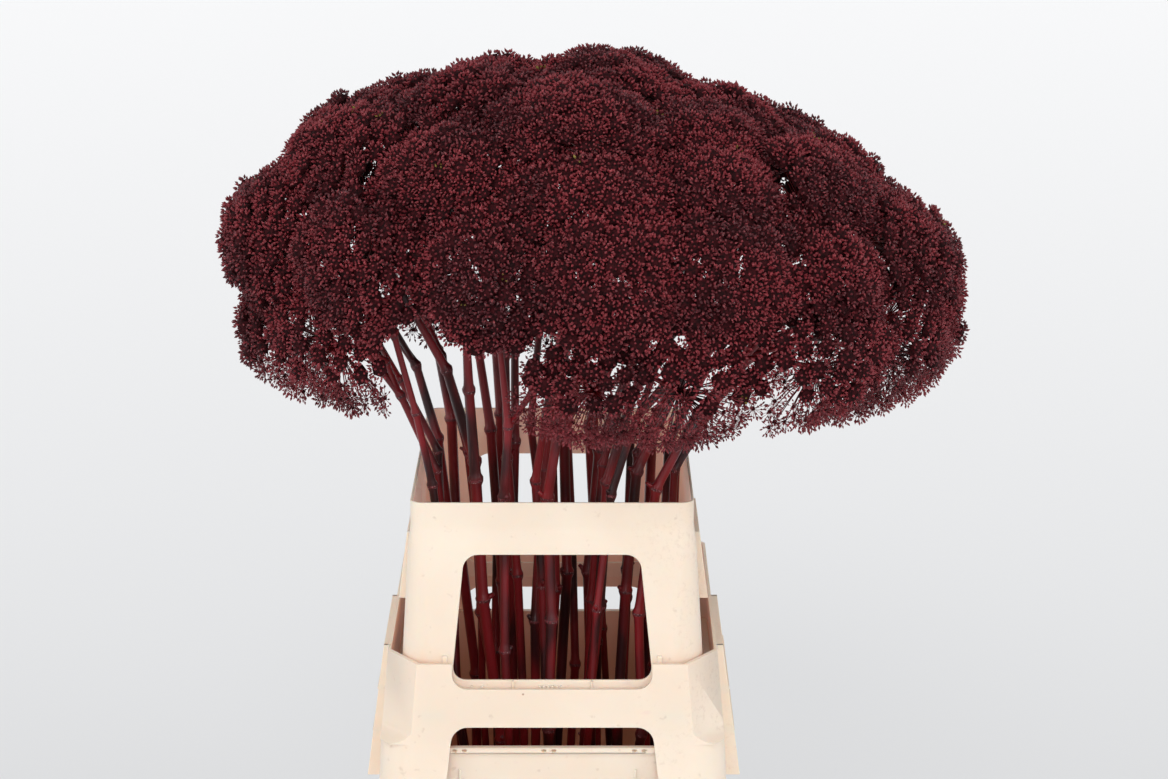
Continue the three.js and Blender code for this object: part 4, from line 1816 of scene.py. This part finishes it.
@dataclass
class LowerCollar(Moulding):
    """The lower collar: a rounded skirt with a faceted collar above it."""

    bottom: float = 170
    shelf: float = 247
    top: float = 315
    skirt: Pair = (143, 176)
    waist: Pair = (139, 170)
    rim: Pair = (133, 167)
    corner: float = 26
    facet: Pair = (25, 33)
    thick: float = 2.5
    under: float = 242.3
    scoop: tuple[Pair, ...] = ((0.34, 0.9), (0.62, 2.6), (0.84, 5.4), (1.0, 9.5))
    window: Opening = Opening(262, 186, 80, 89, 12)
    notch: Opening = Opening(515, 294, 80, 80, 12)
    side: SideFrame = SideFrame(62, 176, 292, (14, 6), (0.34, 0.66))
    lug_x: float = 96
    lug_z: float = 268.4
    lug_size: Triple = (9, 16, 6)
    lug_root: float = 1.2

    def wall(self, bm: bmesh.types.BMesh) -> None:
        """Fill a bmesh with the skirt, the scooped shelves and the faceted collar.

        Args:
            bm: The bmesh that is filled.
        """
        scoops = [
            Level(
                mid(self.waist, self.rim, rise / (self.top - self.shelf)),
                self.shelf + rise,
                (self.facet[0] * share, self.facet[1] * share),
                1,
            )
            for share, rise in self.scoop
        ]
        bead = (self.skirt[0] + 1, self.skirt[1] + 1)
        outer = [
            rounded(bead, self.bottom, self.corner),
            rounded(bead, self.bottom + 5, self.corner),
            rounded(mid(self.skirt, self.waist, 0.1), self.bottom + 6, self.corner),
            rounded(self.waist, self.shelf, self.corner),
            *scoops,
            Level(self.rim, self.top, self.facet, 1),
        ]
        rise = (self.under - self.bottom) / (self.shelf - self.bottom)
        at_under = mid(self.skirt, self.waist, rise)
        inner = [
            Level(self.rim, self.top, self.facet, 1).inset(self.thick),
            Level(self.waist, self.under, self.facet, 1).inset(self.thick),
            rounded(at_under, self.under, self.corner).inset(self.thick),
            rounded(self.skirt, self.bottom, self.corner).inset(self.thick),
        ]
        draw_wall(bm, outer, inner, floor=False)

    def cuts(self, bm: bmesh.types.BMesh) -> None:
        """Cut the window and the notch of the upper edge, front and back."""
        self.window.cut(bm)
        self.notch.cut(bm)

    def wall_at(self, z: float) -> float:
        """Return the half width at a height.

        Args:
            z: The height, in millimetres.

        Returns:
            Half of the collar's outer width there.
        """
        if z < self.shelf:
            return mid(self.skirt, self.waist, (z - self.bottom) / (self.shelf - self.bottom))[0]
        return mid(self.waist, self.rim, (z - self.shelf) / (self.top - self.shelf))[0]

    def fittings(self, bm: bmesh.types.BMesh) -> None:
        """Add the side frames and the lugs that carry the upper collar.

        Args:
            bm: The bmesh that is added to.
        """
        for sign in (1, -1):
            self.side.add(bm, self.wall_at, sign)
        half, out, high = self.lug_size
        rise = (self.lug_z - self.shelf) / (self.top - self.shelf)
        deep = mid(self.waist, self.rim, rise)[1] - self.lug_root
        for sign_x in (-1, 1):
            for sign_y in (-1, 1):
                z = (self.lug_z, self.lug_z + high)
                add_rib(bm, sign_x * self.lug_x, half, (deep, deep - out), z, sign_y)


@dataclass
class UpperCollar(Moulding):
    """The upper collar, which stands a little crooked on the lower one."""

    bottom: float = 275
    shoulder: float = 400
    neck: float = 412
    top: float = 434
    foot: Pair = (122.5, 159.5)
    breast: Pair = (115, 153)
    rim: Pair = (113, 151)
    corner: Triple = (28, 13, 11)
    thick: float = 2.5
    lean: float = 1.8
    flare: tuple[Pair, ...] = ((0, 1.7), (6, 1.5), (11, -0.2))
    window: Opening = Opening(391.5, 288.5, 70, 80.5, 11)
    side: SideFrame = SideFrame(50, 322, 380, (9, 5), (0.45,))
    ribs: tuple[float, ...] = (-31.5, 31.5)
    nubs: tuple[float, ...] = (-64.5, -56.5, -10, -6.6, -3.2, 0.2, 3.6, 7)
    pads: tuple[float, ...] = (-86, 86)

    def wall(self, bm: bmesh.types.BMesh) -> None:
        """Fill a bmesh with the drafted wall, its shoulder and its upright neck.

        Args:
            bm: The bmesh that is filled.
        """
        flare = [
            rounded((self.foot[0] + out, self.foot[1] + out), self.bottom + up, self.corner[0])
            for up, out in self.flare
        ]
        rise = self.shoulder - self.bottom
        outer = [
            *flare,
            rounded(mid(self.foot, self.breast, (rise - 6) / rise), self.shoulder - 6, 14),
            rounded(mid(self.breast, self.rim, 0.12), self.shoulder, self.corner[1]),
            rounded(mid(self.breast, self.rim, 0.85), self.neck - 2, self.corner[2]),
            rounded(self.rim, self.neck + 3, self.corner[2]),
            rounded(self.rim, self.top, self.corner[2]),
        ]
        inner = [
            rounded(self.rim, self.top, self.corner[2]).inset(self.thick),
            rounded(self.rim, self.neck, self.corner[2]).inset(self.thick),
            rounded(self.breast, self.shoulder, self.corner[1]).inset(self.thick),
            rounded(self.foot, self.bottom, self.corner[0]).inset(self.thick),
        ]
        draw_wall(bm, outer, inner, floor=False)

    def cuts(self, bm: bmesh.types.BMesh) -> None:
        """Cut the window, front and back."""
        self.window.cut(bm)

    def wall_at(self, z: float) -> float:
        """Return the half width at a height."""
        return mid(self.foot, self.breast, (z - self.bottom) / (self.shoulder - self.bottom))[0]

    def fittings(self, bm: bmesh.types.BMesh) -> None:
        """Add the side frames and the small ribs, nubs and pads of the front and back walls.

        Args:
            bm: The bmesh that is added to.
        """
        for sign in (1, -1):
            self.side.add(bm, self.wall_at, sign)
        front = self.foot[1]
        for sign in (-1, 1):
            for places, half, y, z in (
                (self.ribs, 0.9, (front - 1, front + 2.2), (277, 288.3)),
                (self.nubs, 1.1, (front - 1, front + 2), (281.5, 284.5)),
                (self.pads, 2, (front - 2.5, front + 1.2), (301, 309)),
            ):
                for x in places:
                    add_rib(bm, x, half, y, z, sign)

    def place(self) -> Matrix:
        """Return the turn about the back bottom edge, which rests on the lower collar's lugs.

        Returns:
            The turn.
        """
        pivot = Vector((0, self.foot[1], self.bottom))
        turn = Matrix.Rotation(-math.radians(self.lean), 4, "X")
        return Matrix.Translation(pivot) @ turn @ Matrix.Translation(-pivot)


# ---------------------------------------------------------------- studio


@dataclass(frozen=True)
class Light:
    """A wide soft light from far away."""

    name: str
    at: Triple
    softness: float
    strength: float
    colour: Triple = (1, 1, 1)

    def add(self) -> None:
        """Stand the light in the scene."""
        data = bpy.data.lights.new(self.name, "SUN")
        data.angle = math.radians(self.softness)
        data.energy = self.strength
        data.color = self.colour
        lamp = bpy.data.objects.new(self.name, data)
        lamp.location = self.at
        lamp.rotation_euler = (-Vector(self.at)).to_track_quat("-Z", "Y").to_euler()
        bpy.context.scene.collection.objects.link(lamp)


@dataclass
class Studio:
    """The floor, the lights and the camera."""

    # paper_near, paper_far and glow: painted light on the floor, which glows, darker near the
    # camera's foot and brighter far away
    paper_near: Triple = (0.162, 0.164, 0.167)
    paper_far: Triple = (0.238, 0.239, 0.241)
    glow: float = 3
    floor_half: float = 30
    eye: Triple = (0, -2.5, 0)
    fade: Pair = (1.36, 2.94)
    sky: Triple = (0.95, 0.97, 1.0)
    sky_strength: float = 0.56
    camera_at: Triple = (0.0254, -2.506, 1.214)
    camera_tilt: float = 74
    lens: float = 96.47
    lights: tuple[Light, ...] = (
        Light("key", (-0.4, -2.8, 2.6), 25, 0.95, (1, 0.985, 0.965)),
        Light("fill", (0.4, -3.0, 0.4), 30, 0.60, (1, 0.99, 0.98)),
        Light("left", (-2.8, -1.3, 0.8), 40, 0.75, (1, 0.99, 0.97)),
        Light("right", (2.8, -1.3, 0.8), 40, 0.75, (1, 0.99, 0.97)),
    )

    def build(self) -> None:
        """Make the floor, the lights and the camera."""
        self.add_floor()
        for light in self.lights:
            light.add()
        world = bpy.data.worlds.new("studio")
        world.use_nodes = True
        backdrop = world.node_tree.nodes["Background"]
        backdrop.inputs["Color"].default_value = (*self.sky, 1)
        backdrop.inputs["Strength"].default_value = self.sky_strength
        scene = bpy.context.scene
        scene.world = world
        scene.view_settings.view_transform = "Standard"
        data = bpy.data.cameras.new("camera")
        data.lens = self.lens
        camera = bpy.data.objects.new("camera", data)
        camera.location = self.camera_at
        camera.rotation_euler = (math.radians(self.camera_tilt), 0, 0)
        scene.collection.objects.link(camera)
        scene.camera = camera

    def add_floor(self) -> None:
        """Make a pale floor that glows as painted light, darker near the camera's foot and brighter
        far away.
        """
        floor = bpy.data.objects.new("floor", new_mesh("floor", self.floor_sheet))
        shader = Shader("paper")
        inputs = {0: shader.place, 1: self.eye}
        far = shader.node("ShaderNodeVectorMath", {"operation": "DISTANCE"}, inputs)
        away = Value(shader, far.outputs["Value"])
        share = self.fade[0] - self.fade[1] / away
        colour = shader.blend(share, self.paper_near, self.paper_far)
        floor.data.materials.append(
            shader.dress({
                "Base Color": colour,
                "Roughness": 0.8,
                "Specular IOR Level": 0.2,
                # the floor's glow is painted light
                "Emission Color": colour,
                "Emission Strength": self.glow,
            })
        )
        bpy.context.scene.collection.objects.link(floor)

    def floor_sheet(self, bm: bmesh.types.BMesh) -> None:
        """Fill a bmesh with a wide flat sheet."""
        bmesh.ops.create_grid(bm, x_segments=1, y_segments=1, size=self.floor_half)


# ---------------------------------------------------------------- making


def main() -> None:
    """Build the flowers, the mouldings and the studio."""
    logging.basicConfig(level=logging.INFO, format="%(message)s")
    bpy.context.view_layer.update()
    Studio().build()
    plastic = [CreamPlastic().make(), StainedShadedGlowingPlastic().make()]
    for moulding in (
        Bucket("bucket", "bucket_plastic", plastic),
        LowerCollar("collar_lower", "lower_plastic", plastic),
        UpperCollar("collar_upper", "upper_plastic", plastic),
    ):
        moulding.make()
    paints = [
        StemPaint().make(),
        JointScar().make(),
        FruitPaint().make(),
        # near-black painted shade at the middle of each umbellet, between the fruits
        HeartPaint("heart_painted_shade", (0.010, 0.0015, 0.002), (0.040, 0.004, 0.006)).make(),
        HeartPaint("young_paint", (0.09, 0.045, 0.012), (0.24, 0.19, 0.05)).make(),
    ]
    maker = FlowerMaker(Bunch(), paints)
    for index in range(len(maker.flowers)):
        maker.make(index)
    pieces = [piece for piece in bpy.context.scene.objects if piece.type == "MESH"]
    LOG.info("triangles: %d", sum(len(p.data.polygons) for p in pieces))


if __name__ == "__main__":
    main()
